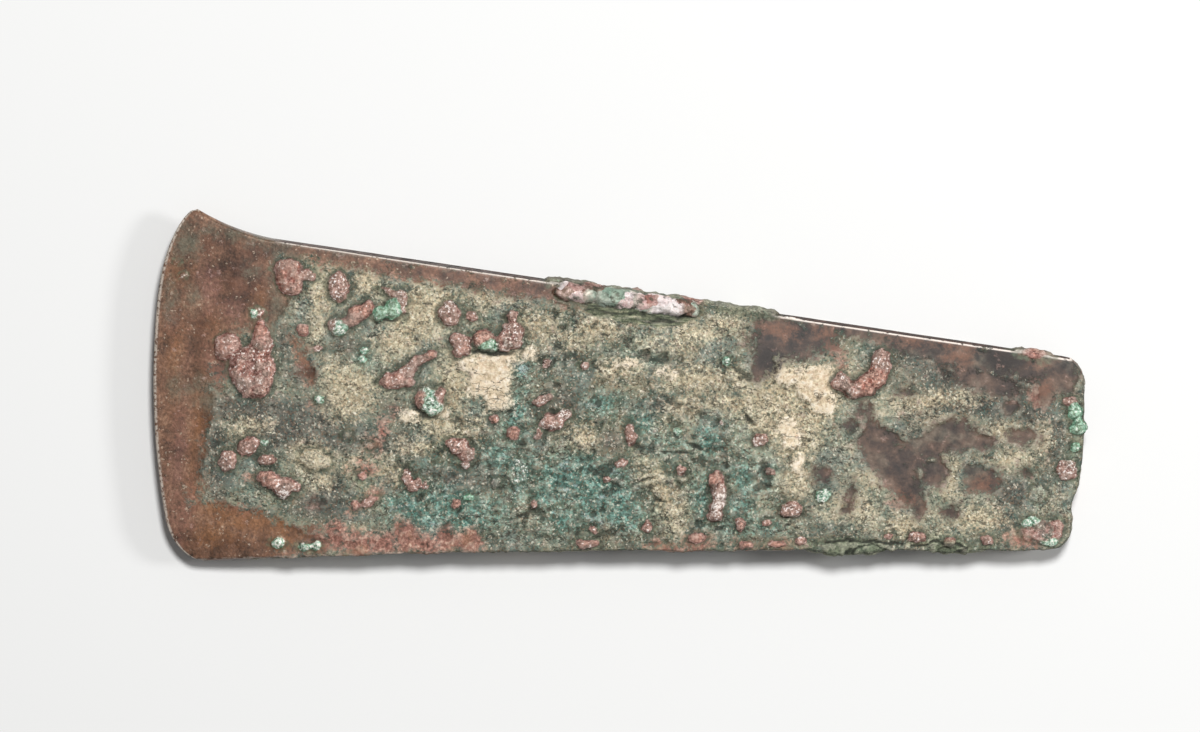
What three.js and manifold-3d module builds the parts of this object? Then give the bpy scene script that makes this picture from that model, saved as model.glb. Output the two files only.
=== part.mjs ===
// A flat axe head of cast and hammered bronze, lying on one broad face.
//
// It is one piece of metal. The cutting edge flares into two horns and is worn skew, the body
// tapers to a narrow butt, and long burial has raised warts of corrosion on the faces and in
// rows along the narrow sides. Millimetres, +Z up. +X runs from the cutting edge to the butt, and
// the origin is on the surface that the axe lies on, below the middle of its length and width.

import * as THREE from "three";
import { mergeVertices } from "three/addons/utils/BufferGeometryUtils.js";
import Module from "manifold-3d";

// The forging
const LENGTH = 150;
const BUTT_WIDTH = 30.5; // between the straight sides, where they reach the butt
const SIDE_ANGLE = 4.24; // degrees between each narrow side and the centreline
const BODY_THICKNESS = 9.2;
const BUTT_THICKNESS = 6.6;
const BEVEL_THICKNESS = 4.4; // at the back of the ground zone
const EDGE_THICKNESS = 0.7; // of the blunt, corroded cutting edge
const BEVEL_LENGTH = 12; // of the ground zone behind the cutting edge
const SWELL_LENGTH = 48; // over which the ground zone rises to the full thickness
const THINNING_LENGTH = 46; // over which the full thickness falls to the butt's
const FACE_CROWN = 0.9; // how much thinner the body is along its narrow sides
const SIDE_CROWN = 0.4; // how far a narrow side stands out between its two arrises
const REST_CUT = 0.15; // worn off where the axe lies

// The cutting edge is a shallow bow, foremost at EDGE_LEAN, a share of the half width. Each horn
// has its bow, flares out over its reach from the edge, and is rounded back from a share across.
const EDGE_LEAN = 0.35;
const UPPER_HORN = { bow: 4.1, flare: 2.9, reach: 19, round: 3.7, from: 0.5 };
const LOWER_HORN = { bow: 3.1, flare: 2, reach: 80, round: 4.9, from: 0.75 };

// The butt is nearly straight, with rounded corners and one shallow dent
const BUTT_BOW = 1.3;
const BUTT_CORNER = { round: 3, from: 0.8 };
const BUTT_DENT = { depth: 0.8, across: -0.52, spread: 0.17 };
const CORNER_FADE = 18; // distance from either end at which its rounding has died away

// Below, along is a share of the length from the cutting edge, across is a share of the half
// width from the centreline, and long, wide and high are sizes.

// Broad swellings of crust on the upper face
const SWELLINGS = [
  { along: 0.26, across: 0.45, long: 44, wide: 20, high: 0.45 },
  { along: 0.36, across: -0.3, long: 40, wide: 22, high: 0.35 },
  { along: 0.56, across: -0.2, long: 46, wide: 24, high: 0.6 },
  { along: 0.62, across: 0.5, long: 34, wide: 12, high: 0.35 },
  { along: 0.8, across: -0.5, long: 30, wide: 12, high: 0.3 },
];

// The larger warts on the upper face, each turned by so many degrees from the axe's length
const FACE_WARTS = [
  { along: 0.078, across: 0.29, long: 4.2, wide: 4.4, high: 1.1, turn: 0 },
  { along: 0.109, across: 0.13, long: 7.2, wide: 8.2, high: 1.0, turn: 10 },
  { along: 0.116, across: 0.36, long: 2.6, wide: 5.4, high: 0.8, turn: 10 },
  { along: 0.074, across: -0.43, long: 2.6, wide: 3.2, high: 0.8, turn: -20 },
  { along: 0.096, across: -0.33, long: 3.2, wide: 2.8, high: 0.8, turn: 30 },
  { along: 0.12, across: -0.56, long: 6.0, wide: 3.6, high: 1.2, turn: -15 },
  { along: 0.165, across: -0.4, long: 5.0, wide: 3.6, high: 0.6, turn: 0 },
  { along: 0.137, across: 0.76, long: 4.0, wide: 5.2, high: 1.0, turn: 15 },
  { along: 0.189, across: 0.77, long: 3.1, wide: 4.6, high: 1.1, turn: 0 },
  { along: 0.214, across: 0.61, long: 5.0, wide: 2.3, high: 1.0, turn: 45 },
  { along: 0.245, across: 0.64, long: 5.2, wide: 3.2, high: 1.0, turn: 30 },
  { along: 0.264, across: 0.21, long: 6.0, wide: 2.8, high: 0.8, turn: 5 },
  { along: 0.281, across: 0.31, long: 4.6, wide: 2.0, high: 0.7, turn: 42 },
  { along: 0.302, across: 0.055, long: 5.2, wide: 4.4, high: 1.3, turn: -15 },
  { along: 0.311, across: 0.64, long: 3.6, wide: 3.9, high: 1.2, turn: 0 },
  { along: 0.327, across: 0.47, long: 3.2, wide: 4.2, high: 1.2, turn: 0 },
  { along: 0.367, across: 0.51, long: 8.0, wide: 5.0, high: 1.5, turn: 5 },
  { along: 0.325, across: -0.27, long: 4.2, wide: 3.0, high: 0.9, turn: -15 },
  { along: 0.427, across: -0.03, long: 3.4, wide: 2.6, high: 0.9, turn: 10 },
  { along: 0.651, across: -0.07, long: 2.6, wide: 2.6, high: 0.9, turn: 0 },
  { along: 0.606, across: -0.6, long: 3.2, wide: 9.4, high: 1.3, turn: 0 },
  { along: 0.691, across: -0.63, long: 3.6, wide: 3.2, high: 1.0, turn: 0 },
  { along: 0.747, across: 0.48, long: 4.6, wide: 2.8, high: 1.2, turn: -15 },
  { along: 0.766, across: 0.49, long: 4.6, wide: 3.2, high: 1.2, turn: 25 },
  { along: 0.782, across: 0.62, long: 3.2, wide: 5.6, high: 1.2, turn: -10 },
  { along: 0.957, across: -0.76, long: 5.0, wide: 3.0, high: 0.6, turn: 0 },
  { along: 0.984, across: -0.16, long: 3.0, wide: 2.4, high: 0.8, turn: 0 },
];

// Rows of warts on the arrises and narrow sides. down is how far their middles lie below the
// upper face.
const SIDE_ROWS = [
  { from: 0.437, to: 0.56, warts: 6, across: 0.955, long: 5.4, wide: 3.4, high: 1.4, down: 0.3 },
  { from: 0.59, to: 0.635, warts: 2, across: 0.985, long: 6.4, wide: 2.8, high: 2.0, down: 2.6 },
  { from: 0.95, to: 0.95, warts: 1, across: 0.97, long: 7.0, wide: 1.8, high: 1.4, down: 2.2 },
  { from: 0.14, to: 0.335, warts: 6, across: -0.95, long: 5.4, wide: 2.8, high: 0.8, down: 0.3 },
  { from: 0.73, to: 0.785, warts: 2, across: -0.975, long: 10, wide: 2.6, high: 1.8, down: 2.4 },
  { from: 0.86, to: 0.915, warts: 2, across: -0.975, long: 8, wide: 2, high: 1.5, down: 1.8 },
];
const ROW_VARIETY = 0.2; // how much the sizes in a row differ

// Lower warts under the axe, near its two ends, where it stands clear of the surface
const UNDER_WARTS = [
  { along: 0.14, across: 0.5, long: 7, wide: 5, high: 0.7, turn: 20 },
  { along: 0.19, across: -0.35, long: 6, wide: 6, high: 0.6, turn: 0 },
  { along: 0.9, across: 0.35, long: 6, wide: 4, high: 0.45, turn: -20 },
  { along: 0.94, across: -0.4, long: 4, wide: 5, high: 0.5, turn: 0 },
];
const WART_CLEARANCE = 0.3; // between those and the surface

// Mesh density of the forging
const STEPS = { along: 55, across: 17, deep: 3 };

const TAPER = Math.tan(THREE.MathUtils.degToRad(SIDE_ANGLE));
const MIDDLE = BODY_THICKNESS / 2 - REST_CUT; // height of the plane between the two faces

const clamp01 = (value) => THREE.MathUtils.clamp(value, 0, 1);
const bell = (distance) => Math.exp(-distance * distance);

// How far the corner between an end and a narrow side is rounded back, at a share across
function cornerRound(across, { round, from }) {
  const share = clamp01((Math.abs(across) - from) / (1 - from));
  return round * (1 - Math.sqrt(1 - share * share));
}

// Distance from the line of the foremost edge, for shares along and across
function station(along, across) {
  const horn = across > 0 ? UPPER_HORN : LOWER_HORN;
  const { bow } = across > EDGE_LEAN ? UPPER_HORN : LOWER_HORN;
  const edge = bow * (across - EDGE_LEAN) ** 2;
  const butt = LENGTH - BUTT_BOW * across * across;
  const dent = BUTT_DENT.depth * bell((across - BUTT_DENT.across) / BUTT_DENT.spread);
  const nearEdge = clamp01(1 - (along * LENGTH) / CORNER_FADE) ** 2;
  const nearButt = clamp01(1 - ((1 - along) * LENGTH) / CORNER_FADE) ** 2;
  return (
    THREE.MathUtils.lerp(edge, butt, along) +
    cornerRound(across, horn) * nearEdge -
    (cornerRound(across, BUTT_CORNER) + dent) * nearButt
  );
}

// Half the width at a station: the straight taper, and the horn's flare near the edge
function halfWidth(at, across) {
  const horn = across > 0 ? UPPER_HORN : LOWER_HORN;
  const tip = horn.bow * (Math.sign(across) - EDGE_LEAN) ** 2 + horn.round;
  const flare = clamp01((horn.reach - at) / (horn.reach - tip));
  return BUTT_WIDTH / 2 + (LENGTH - at) * TAPER + horn.flare * flare * flare;
}

// The point of the plan for shares along and across
function plan(along, across) {
  const at = station(along, across);
  return [at - LENGTH / 2, across * halfWidth(at, across)];
}

// Thickness for shares along and across
function thickness(along, across) {
  const behind = along * LENGTH;
  if (behind < BEVEL_LENGTH)
    return THREE.MathUtils.lerp(EDGE_THICKNESS, BEVEL_THICKNESS, behind / BEVEL_LENGTH);
  const rising = clamp01(1 - (behind - BEVEL_LENGTH) / SWELL_LENGTH);
  const thinning = clamp01(1 - (LENGTH - behind) / THINNING_LENGTH);
  return (
    BODY_THICKNESS -
    (BODY_THICKNESS - BEVEL_THICKNESS) * rising ** 2 -
    (BODY_THICKNESS - BUTT_THICKNESS) * thinning ** 2 -
    FACE_CROWN * across ** 2 * (1 - rising)
  );
}

// Height of the swellings at a point of the upper face
function swelling(x, y) {
  let height = 0;
  for (const { along, across, long, wide, high } of SWELLINGS) {
    const [middleX, middleY] = plan(along, across);
    height += high * bell(Math.hypot((x - middleX) / (long / 2), (y - middleY) / (wide / 2)));
  }
  return height;
}

// A point of the skin. level runs from -1 on the underside to 1 on the upper face.
function skin(along, across, level) {
  let [x, y] = plan(along, across);
  if (Math.abs(across) === 1) y -= Math.sign(across) * SIDE_CROWN * level * level;
  if (along === 1) x -= SIDE_CROWN * level * level;
  let z = MIDDLE + (level * thickness(along, across)) / 2;
  if (level > 0) z += level * swelling(x, y) * clamp01((along * LENGTH) / BEVEL_LENGTH);
  return new THREE.Vector3(x, y, Math.max(z, 0));
}

// A geometry with its positions alone and its shared corners merged
function closed(geometry) {
  geometry.deleteAttribute("normal");
  geometry.deleteAttribute("uv");
  return mergeVertices(geometry);
}

// The forging is a box of small cells whose corners are moved onto the skin
function forging() {
  const box = closed(new THREE.BoxGeometry(1, 2, 2, STEPS.along, STEPS.across, STEPS.deep));
  const corners = box.getAttribute("position");
  for (let i = 0; i < corners.count; i++) {
    const { x, y, z } = skin(corners.getX(i) + 0.5, corners.getY(i), corners.getZ(i));
    corners.setXYZ(i, x, y, z);
  }
  return box;
}

// A wart is a stretched ball, set halfway into the skin
function wart({ long, wide, high, turn }, centre) {
  const ball = closed(new THREE.IcosahedronGeometry(1, 1));
  ball.scale(long / 2, wide / 2, high);
  ball.rotateZ(THREE.MathUtils.degToRad(turn));
  ball.translate(centre.x, centre.y, centre.z);
  return ball;
}

function faceWart(row) {
  return wart(row, skin(row.along, row.across, 1));
}

function underWart(row) {
  const centre = skin(row.along, row.across, -1);
  centre.z = Math.max(centre.z, row.high + WART_CLEARANCE);
  return wart(row, centre);
}

// A row of warts follows its narrow side, and each differs a little in size from the last
function sideRow({ from, to, warts, across, long, wide, high, down }) {
  const turn = across > 0 ? -SIDE_ANGLE : SIDE_ANGLE;
  return Array.from({ length: warts }, (_, i) => {
    const share = warts > 1 ? i / (warts - 1) : 0;
    const size = 1 + ROW_VARIETY * Math.sin(2.4 * i);
    const centre = skin(THREE.MathUtils.lerp(from, to, share), across, 1);
    centre.z -= down;
    return wart({ long: long * size, wide: wide * size, high: high * size, turn }, centre);
  });
}

const wasm = await Module();
wasm.setup();

const solid = (geometry) =>
  new wasm.Manifold(
    new wasm.Mesh({
      numProp: 3,
      vertProperties: new Float32Array(geometry.getAttribute("position").array),
      triVerts: new Uint32Array(geometry.index.array),
    }),
  );

// The forging and its warts are one body
let axe = solid(forging());
const warts = [...FACE_WARTS.map(faceWart), ...UNDER_WARTS.map(underWart), ...SIDE_ROWS.flatMap(sideRow)];
for (const geometry of warts) axe = axe.add(solid(geometry));

const { vertProperties, triVerts } = axe.getMesh();
const body = new THREE.BufferGeometry();
body.setAttribute("position", new THREE.BufferAttribute(vertProperties, 3));
body.setIndex(new THREE.BufferAttribute(triVerts, 1));
body.computeVertexNormals();

const corrodedBronze = new THREE.MeshStandardMaterial({
  color: 0x766b5c,
  roughness: 0.8,
  metalness: 0.35,
});

const head = new THREE.Mesh(body, corrodedBronze);
head.name = "axe_head";

const part = new THREE.Group();
part.add(head);
export default part;
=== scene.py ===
import math

import bmesh
import bpy
import numpy as np
from mathutils import Matrix, Vector, noise


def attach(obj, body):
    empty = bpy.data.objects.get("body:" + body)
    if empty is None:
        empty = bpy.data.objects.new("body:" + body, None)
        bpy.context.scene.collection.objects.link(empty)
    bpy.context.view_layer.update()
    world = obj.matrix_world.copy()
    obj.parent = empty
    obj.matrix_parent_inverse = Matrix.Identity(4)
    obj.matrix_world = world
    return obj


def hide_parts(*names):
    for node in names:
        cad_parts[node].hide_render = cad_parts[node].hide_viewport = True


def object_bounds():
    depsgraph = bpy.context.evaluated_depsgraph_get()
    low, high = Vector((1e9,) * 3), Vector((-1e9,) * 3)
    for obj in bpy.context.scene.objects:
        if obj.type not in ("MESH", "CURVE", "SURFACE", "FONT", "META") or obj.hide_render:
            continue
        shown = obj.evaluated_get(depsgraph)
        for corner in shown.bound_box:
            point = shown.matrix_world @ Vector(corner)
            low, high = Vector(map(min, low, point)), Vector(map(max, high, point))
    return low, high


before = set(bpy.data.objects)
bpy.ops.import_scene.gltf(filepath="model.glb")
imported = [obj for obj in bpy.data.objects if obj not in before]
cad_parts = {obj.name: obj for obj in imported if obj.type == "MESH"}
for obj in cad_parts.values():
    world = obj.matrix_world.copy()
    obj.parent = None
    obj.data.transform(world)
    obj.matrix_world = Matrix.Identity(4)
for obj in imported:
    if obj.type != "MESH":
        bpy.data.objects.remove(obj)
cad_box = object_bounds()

# The axe head is one piece of bronze, cast flat, then hammered and ground to an edge. Sizes here
# are in millimetres: along runs from 0 at the cutting edge to 1 at the butt, across from -1 to 1
# between the narrow sides, and level from -1 under the axe to 1 on its upper face.
MM = 0.001
LENGTH = 150.0
BUTT_WIDTH = 30.5
SIDE_ANGLE = math.radians(4.24)
BODY_THICKNESS = 9.2
BUTT_THICKNESS = 6.6
BEVEL_THICKNESS = 4.4  # at the back of the ground zone
EDGE_THICKNESS = 0.7
BEVEL_LENGTH = 12.0  # of the ground zone behind the cutting edge
SWELL_LENGTH = 48.0  # over which it rises to the full thickness
THINNING_LENGTH = 46.0  # over which that falls to the butt's
FACE_CROWN = 0.9  # how much thinner the axe is along its narrow sides
SIDE_CROWN = 0.4  # how far a narrow side stands out between its arrises
REST_CUT = 0.15  # worn off where the axe lies
EDGE_LEAN = 0.35  # share across at which the cutting edge is foremost
UPPER_HORN = {"bow": 4.1, "flare": 2.9, "reach": 19.0, "round": 3.7, "from": 0.5}
LOWER_HORN = {"bow": 3.1, "flare": 2.0, "reach": 80.0, "round": 4.9, "from": 0.75}
BUTT_BOW = 1.3
BUTT_CORNER = {"round": 3.0, "from": 0.8}
BUTT_DENT = {"depth": 0.8, "across": -0.52, "spread": 0.17}
CORNER_FADE = 18.0  # distance from either end at which its rounding has died away
ARRIS = 0.45  # how far the corners between faces and sides are worn round
MIDDLE = BODY_THICKNESS / 2 - REST_CUT

# Its mesh starts as a cube that is cut into small cells, twice as fine on the upper face
CELLS = (245, 72, 12)
BRINK = 0.9999  # share from which a vertex is on an outer face of the cube
cube = bmesh.new()
bmesh.ops.create_cube(cube, size=2)


def cut_cells(axis, cuts):
    """Cuts every edge of the cube that runs along one axis"""
    edges = [e for e in cube.edges if abs(e.verts[0].co[axis] - e.verts[1].co[axis]) > 1e-6]
    bmesh.ops.subdivide_edges(cube, edges=edges, cuts=cuts, use_grid_fill=True)


for axis, cells in enumerate(CELLS):
    cut_cells(axis, cells - 1)
upper = {e for f in cube.faces if min(v.co.z for v in f.verts) > BRINK for e in f.edges}
bmesh.ops.subdivide_edges(cube, edges=list(upper), cuts=1, use_grid_fill=True)
axe_mesh = bpy.data.meshes.new("axe_head_skin")
cube.to_mesh(axe_mesh)
cube.free()


def read(collection, key, width):
    """Values of a mesh's vertices or edges as an array"""
    values = np.empty(len(collection) * width, dtype=np.int32 if key == "vertices" else np.float32)
    collection.foreach_get(key, values)
    return values.reshape(-1, width) if width > 1 else values


CROWDED = 0.12  # how much closer the cells lie towards the narrow sides
cell = read(axe_mesh.vertices, "co", 3).astype(float)
along = (cell[:, 0] + 1) / 2
across = cell[:, 1] * (1 + CROWDED - CROWDED * cell[:, 1] ** 2)
level = np.sin(cell[:, 2] * math.pi / 2)
behind = along * LENGTH
pairs = read(axe_mesh.edges, "vertices", 2)


def smooth_step(value):
    """An even rise from 0 to 1 with soft ends"""
    value = np.clip(value, 0, 1)
    return value * value * (3 - 2 * value)


def corner_round(across, most, start):
    """How far the outline is rounded back towards a corner, from a share across outwards"""
    share = np.clip((abs(across) - start) / (1 - start), 0, 1)
    return most * (1 - np.sqrt(1 - share**2))


def by_side(across, size, middle=0.0):
    """A size of the horn on the same side of a line along the axe"""
    return np.where(across > middle, UPPER_HORN[size], LOWER_HORN[size])


def plan(along, across):
    """Place of a point of the outline, from the middle of the axe"""
    edge = by_side(across, "bow", EDGE_LEAN) * (across - EDGE_LEAN) ** 2
    butt = LENGTH - BUTT_BOW * across**2
    dent = BUTT_DENT["depth"] * np.exp(-(((across - BUTT_DENT["across"]) / BUTT_DENT["spread"]) ** 2))
    near_edge = np.clip(1 - along * LENGTH / CORNER_FADE, 0, 1) ** 2
    near_butt = np.clip(1 - (1 - along) * LENGTH / CORNER_FADE, 0, 1) ** 2
    at = edge + (butt - edge) * along
    at = at + corner_round(across, by_side(across, "round"), by_side(across, "from")) * near_edge
    at = at - (corner_round(across, BUTT_CORNER["round"], BUTT_CORNER["from"]) + dent) * near_butt
    tip = by_side(across, "bow") * (np.sign(across) - EDGE_LEAN) ** 2 + by_side(across, "round")
    reach = by_side(across, "reach")
    flare = by_side(across, "flare") * np.clip((reach - at) / (reach - tip), 0, 1) ** 2
    half = BUTT_WIDTH / 2 + (LENGTH - at) * math.tan(SIDE_ANGLE) + flare
    return at - LENGTH / 2, across * half


def thickness(along, across):
    """Depth of the metal between the two faces"""
    behind = along * LENGTH
    rising = np.clip(1 - (behind - BEVEL_LENGTH) / SWELL_LENGTH, 0, 1)
    thinning = np.clip(1 - (LENGTH - behind) / THINNING_LENGTH, 0, 1)
    body = (
        BODY_THICKNESS
        - (BODY_THICKNESS - BEVEL_THICKNESS) * rising**2
        - (BODY_THICKNESS - BUTT_THICKNESS) * thinning**2
        - FACE_CROWN * across**2 * (1 - rising)
    )
    ground = EDGE_THICKNESS + (BEVEL_THICKNESS - EDGE_THICKNESS) * behind / BEVEL_LENGTH
    return np.where(behind < BEVEL_LENGTH, ground, body)


def fractal(points, size, octaves=3):
    """Noise from about -1 to 1 at the points, in lumps of that size"""
    return np.array([noise.fractal(Vector(p), 1.0, 2.0, octaves) for p in points / size])


def averaged(values, rounds):
    """The values after each vertex has taken its neighbours' mean so many times"""
    count = np.bincount(pairs.ravel(), minlength=len(values))
    for _ in range(rounds):
        total = np.bincount(pairs[:, 0], values[pairs[:, 1]], len(values))
        total += np.bincount(pairs[:, 1], values[pairs[:, 0]], len(values))
        values = (values + total / count) / 2
    return values


# Its plain skin, before corrosion
x, y = plan(along, across)
on_side = abs(across) > BRINK
at_butt = along > BRINK
y = y - on_side * np.sign(across) * SIDE_CROWN * level**2
x = x - at_butt * SIDE_CROWN * level**2
half_deep = thickness(along, across) / 2
rim = (1 - abs(across)) * (BUTT_WIDTH / 2 + (LENGTH - behind) * math.tan(SIDE_ANGLE))
worn = ARRIS * np.clip(1 - rim / (1.2 * ARRIS), 0, 1) ** 2 * np.clip(along * 12, 0, 1)
z = MIDDLE + level * (half_deep - np.minimum(worn, half_deep * 0.5))
skin = np.stack([x, y, z], axis=1)

# Broad swellings of the crust on the upper face: along, across, long, wide, high
SWELLINGS = [
    (0.26, 0.45, 44, 20, 0.45),
    (0.36, -0.3, 40, 22, 0.35),
    (0.56, -0.2, 46, 24, 0.6),
    (0.62, 0.5, 34, 12, 0.35),
    (0.8, -0.5, 30, 12, 0.3),
]
above = np.clip(level, 0, 1)
bevel_fade = np.clip(along * LENGTH / BEVEL_LENGTH, 0, 1)
for place, side, long, wide, high in SWELLINGS:
    middle_x, middle_y = plan(place, side)
    reach = ((x - middle_x) / (long / 2)) ** 2 + ((y - middle_y) / (wide / 2)) ** 2
    skin[:, 2] += above * bevel_fade * high * np.exp(-reach)

# Noise that ragged edges and rough crust share. Each shift of the skin gives other noise.
ragged = 0.7 * fractal(skin, 2.2) + 0.4 * fractal(skin + 50, 0.9, 2)
lumpy = fractal(skin + 90, 6.0, 4)
gritty = fractal(skin + 130, 1.1, 3)
bent_x = skin[:, 0] + 0.42 * fractal(skin + 10, 1.8, 2) + 0.16 * fractal(skin + 20, 0.6, 1)
bent_y = skin[:, 1] + 0.42 * fractal(skin + 30, 1.8, 2) + 0.16 * fractal(skin + 40, 0.6, 1)

PICTURE_TURN = 4  # degrees between the axe's length and what is level as the camera sees it


def inside(place, side, long, wide, turn=PICTURE_TURN, boxy=2, tall=None):
    """Depth in millimetres inside a patch, below 0 outside it.

    It is an oval when boxy is 2, and squarer when boxy is more. With tall it is a ball between
    those two heights."""
    middle_x, middle_y = plan(place, side)
    turn = math.radians(turn)
    right = (bent_x - middle_x) * math.cos(turn) + (bent_y - middle_y) * math.sin(turn)
    up = (bent_y - middle_y) * math.cos(turn) - (bent_x - middle_x) * math.sin(turn)
    far = (abs(right) / (long / 2)) ** boxy + (abs(up) / (wide / 2)) ** boxy
    if tall is not None:
        low, high = tall
        far = far + (abs(skin[:, 2] - (low + high) / 2) / ((high - low) / 2)) ** 2
    return (1 - far ** (1 / boxy)) * min(long, wide) / 2


OUTSIDE = -9.0  # depth where no patch is near


def painted(rows, raggedness):
    """Depth inside the union of a list of patches of the upper face"""
    depth = np.full(len(skin), OUTSIDE)
    for row in rows:
        depth = np.maximum(depth, inside(*row))
    return depth + raggedness * ragged


def grown(size, share, shift):
    """Depth inside patches that noise leaves, for the hidden sides"""
    return (fractal(skin + shift, size, 5) - share) * size * 0.35 + 0.9 * ragged + 0.5 * gritty


# Where the upper face shows each kind of surface. Rows are along, across, long, wide, and the turn
# and boxiness where they differ from the usual ones. First the bare metal.
BARE = [
    (-0.035, 0.0, 25, 90, 0, 4),
    (0.052, 0.8, 20, 22, 0, 4),
    (0.105, 0.62, 10, 12, -20, 3),
    (0.03, 0.1, 10, 50, 0, 4),
    (0.05, -0.86, 24, 11, -3, 3),
    (0.104, -0.864, 16, 5, -3, 3),
    (0.06, 0.42, 9, 20, 0, 3),
    (0.16, 0.97, 20, 3.6, -5, 4),
    (0.23, 0.955, 24, 3.4, -5, 4),
    (0.31, 0.945, 26, 3.6, -5, 4),
    (0.39, 0.93, 22, 3.0, -5, 4),
    (0.158, 0.26, 1.8, 7, 22),
    (0.168, 0.16, 1.6, 5, 12),
]
DARK = [  # smooth dark oxide, which the crust has come off
    (0.909, 0.62, 7.1, 2.6, -6, 3),
    (0.875, 0.73, 6.4, 1.9, -6, 3),
    (0.92, 0.43, 2.9, 2.2),
    (0.865, 0.16, 6.4, 2.2, -8),
    (0.886, 0.67, 10.3, 2.9, -8, 3),
    (0.943, 0.83, 4.8, 4.2, 4, 3),
    (0.839, 0.88, 9.6, 3.2, -8, 3),
    (0.828, 0.92, 14.4, 4.2, -8, 4),
    (0.888, 0.86, 11.2, 4.2, -4, 3),
    (0.8, 0.94, 11.2, 3.2, -8, 3),
    (0.861, 0.92, 11.2, 3.9, -8, 3),
    (0.919, 0.89, 9.0, 4.2, -4, 3),
    (0.734, 1.0, 14.4, 3.0, -5, 4),
    (0.8, 1.0, 14.4, 3.2, -5, 4),
    (0.861, 0.99, 12.8, 3.5, -5, 4),
    (0.923, 0.98, 9.6, 3.9, -5, 4),
    (0.976, 0.85, 5.8, 7.1, -5, 4),
    (0.674, 0.82, 10.6, 6.1, -8, 3),
    (0.65, 0.59, 2.9, 4.8, 4, 3),
    (0.708, 0.89, 8.0, 3.5, -6, 3),
    (0.669, 0.83, 8.0, 5.1, -4, 3),
    (0.654, 0.68, 3.5, 6.4, 4, 3),
    (0.647, 0.52, 1.6, 3.2),
    (0.698, 0.84, 7.1, 3.9, -10, 3),
    (0.912, 0.91, 5.5, 3.5, 4, 3),
    (0.978, 0.92, 5.8, 5.1, -6, 3),
    (0.959, 0.67, 3.5, 4.5),
    (0.839, 0.83, 4.8, 1.9, -16),
    (0.882, 0.78, 6.4, 1.6),
    (0.801, 0.84, 3.2, 1.6, -16),
    (0.759, 0.28, 1.0, 2.2),
    (0.805, 0.48, 2.2, 1.3),
    (0.782, 0.0, 6.6, 4.6, -25, 3),
    (0.784, -0.14, 5.4, 5, -30, 3),
    (0.8, -0.27, 7, 5, -40, 3),
    (0.816, -0.42, 5.4, 4.4, -50, 3),
    (0.826, -0.56, 2.8, 3.6, 10),
    (0.812, -0.12, 7, 4.4, 0, 3),
    (0.836, 0.0, 5.6, 4.4, 20, 3),
    (0.858, 0.1, 6.6, 5.4, 15, 3),
    (0.84, -0.26, 4.4, 4, 0, 3),
    (0.89, 0.06, 4.4, 2.6, 0),
    (0.893, -0.3, 5.6, 4.2, 5, 3),
    (0.883, -0.24, 2.6, 3.2, 30),
    (0.863, -0.63, 2.6, 2.2, 0),
    (0.752, 0.12, 2.4, 2.0, 30),
    (0.768, 0.26, 1.1, 2.2, 10),
    (0.722, -0.33, 3.0, 2.2, -30),
    (0.752, -0.47, 1.6, 2.4, -10),
    (0.749, -0.62, 1.6, 1.6, 0),
    (0.175, -0.661, 1.8, 1.2, 0),
    (0.94, -0.2, 1.4, 1.2, 0),
    (0.935, 0.16, 4, 2.6, 0),
]
SAND = [  # sand cemented on the crust
    (0.277, 0.63, 8.0, 9.0, 14, 3),
    (0.684, 0.28, 13.5, 9.0, -21, 3),
    (0.662, 0.32, 9.6, 4.8, 4, 3),
    (0.212, 0.1, 6.4, 4.8),
    (0.174, 0.62, 2.9, 8.3, -4),
    (0.221, 0.82, 3.9, 3.2),
    (0.28, 0.7, 6.7, 6.7),
    (0.261, 0.46, 7.7, 4.8, 24),
    (0.3, 0.77, 2.6, 4.5),
    (0.212, 0.08, 8.0, 7.1, -16),
    (0.205, -0.07, 4.5, 2.6),
    (0.191, 0.23, 2.9, 2.6),
    (0.325, 0.2, 4.2, 9.9),
    (0.305, -0.1, 5.5, 3.2, -16),
    (0.285, -0.26, 3.9, 2.6),
    (0.171, -0.38, 6.1, 4.2, -6),
    (0.251, -0.45, 4.5, 3.5),
    (0.212, -0.41, 2.2, 1.9),
    (0.179, -0.51, 3.2, 2.2),
    (0.101, -0.2, 4.2, 1.9, 14),
    (0.102, 0.44, 2.9, 2.4),
    (0.146, 0.93, 4.8, 1.4, -2),
    (0.198, 0.91, 6.4, 1.4, -2),
    (0.351, 0.83, 7.4, 1.9, -2),
    (0.406, 0.67, 6.4, 3.5),
    (0.473, 0.7, 7.1, 3.9),
    (0.451, 0.59, 3.2, 2.2),
    (0.505, 0.41, 5.0, 2.0),
    (0.465, -0.14, 3.9, 3.9, 24),
    (0.587, 0.39, 12.2, 3.5),
    (0.575, 0.21, 6.4, 2.2, 34),
    (0.625, 0.22, 9.6, 2.6, -6),
    (0.662, 0.07, 6.4, 4.8, -36),
    (0.71, 0.42, 8.7, 8.0, 4, 3),
    (0.691, 0.0, 5.8, 9.0, -6),
    (0.698, -0.29, 3.9, 5.8),
    (0.687, -0.4, 3.2, 2.9),
    (0.552, -0.56, 10.3, 2.9, -53),
    (0.834, 0.42, 11.9, 2.4, 8),
    (0.851, 0.22, 6.4, 2.6),
    (0.921, 0.17, 8.0, 3.5),
    (0.923, -0.09, 6.4, 2.2),
    (0.858, -0.31, 3.5, 6.4, 14),
    (0.888, -0.69, 9.6, 3.5),
    (0.815, -0.74, 4.8, 4.2),
    (0.954, 0.14, 3.2, 4.2),
    (0.536, 0.63, 4.8, 1.9),
    (0.572, 0.78, 6.4, 2.6),
    (0.754, -0.58, 6.4, 4.2),
    (0.779, -0.35, 4.8, 2.6),
    (0.342, -0.13, 3.2, 2.6),
    (0.224, -0.63, 2.9, 1.3, 34),
    (0.615, 0.87, 4.8, 2.2),
    (0.472, 0.92, 4.8, 1.3, -4),
]
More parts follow.
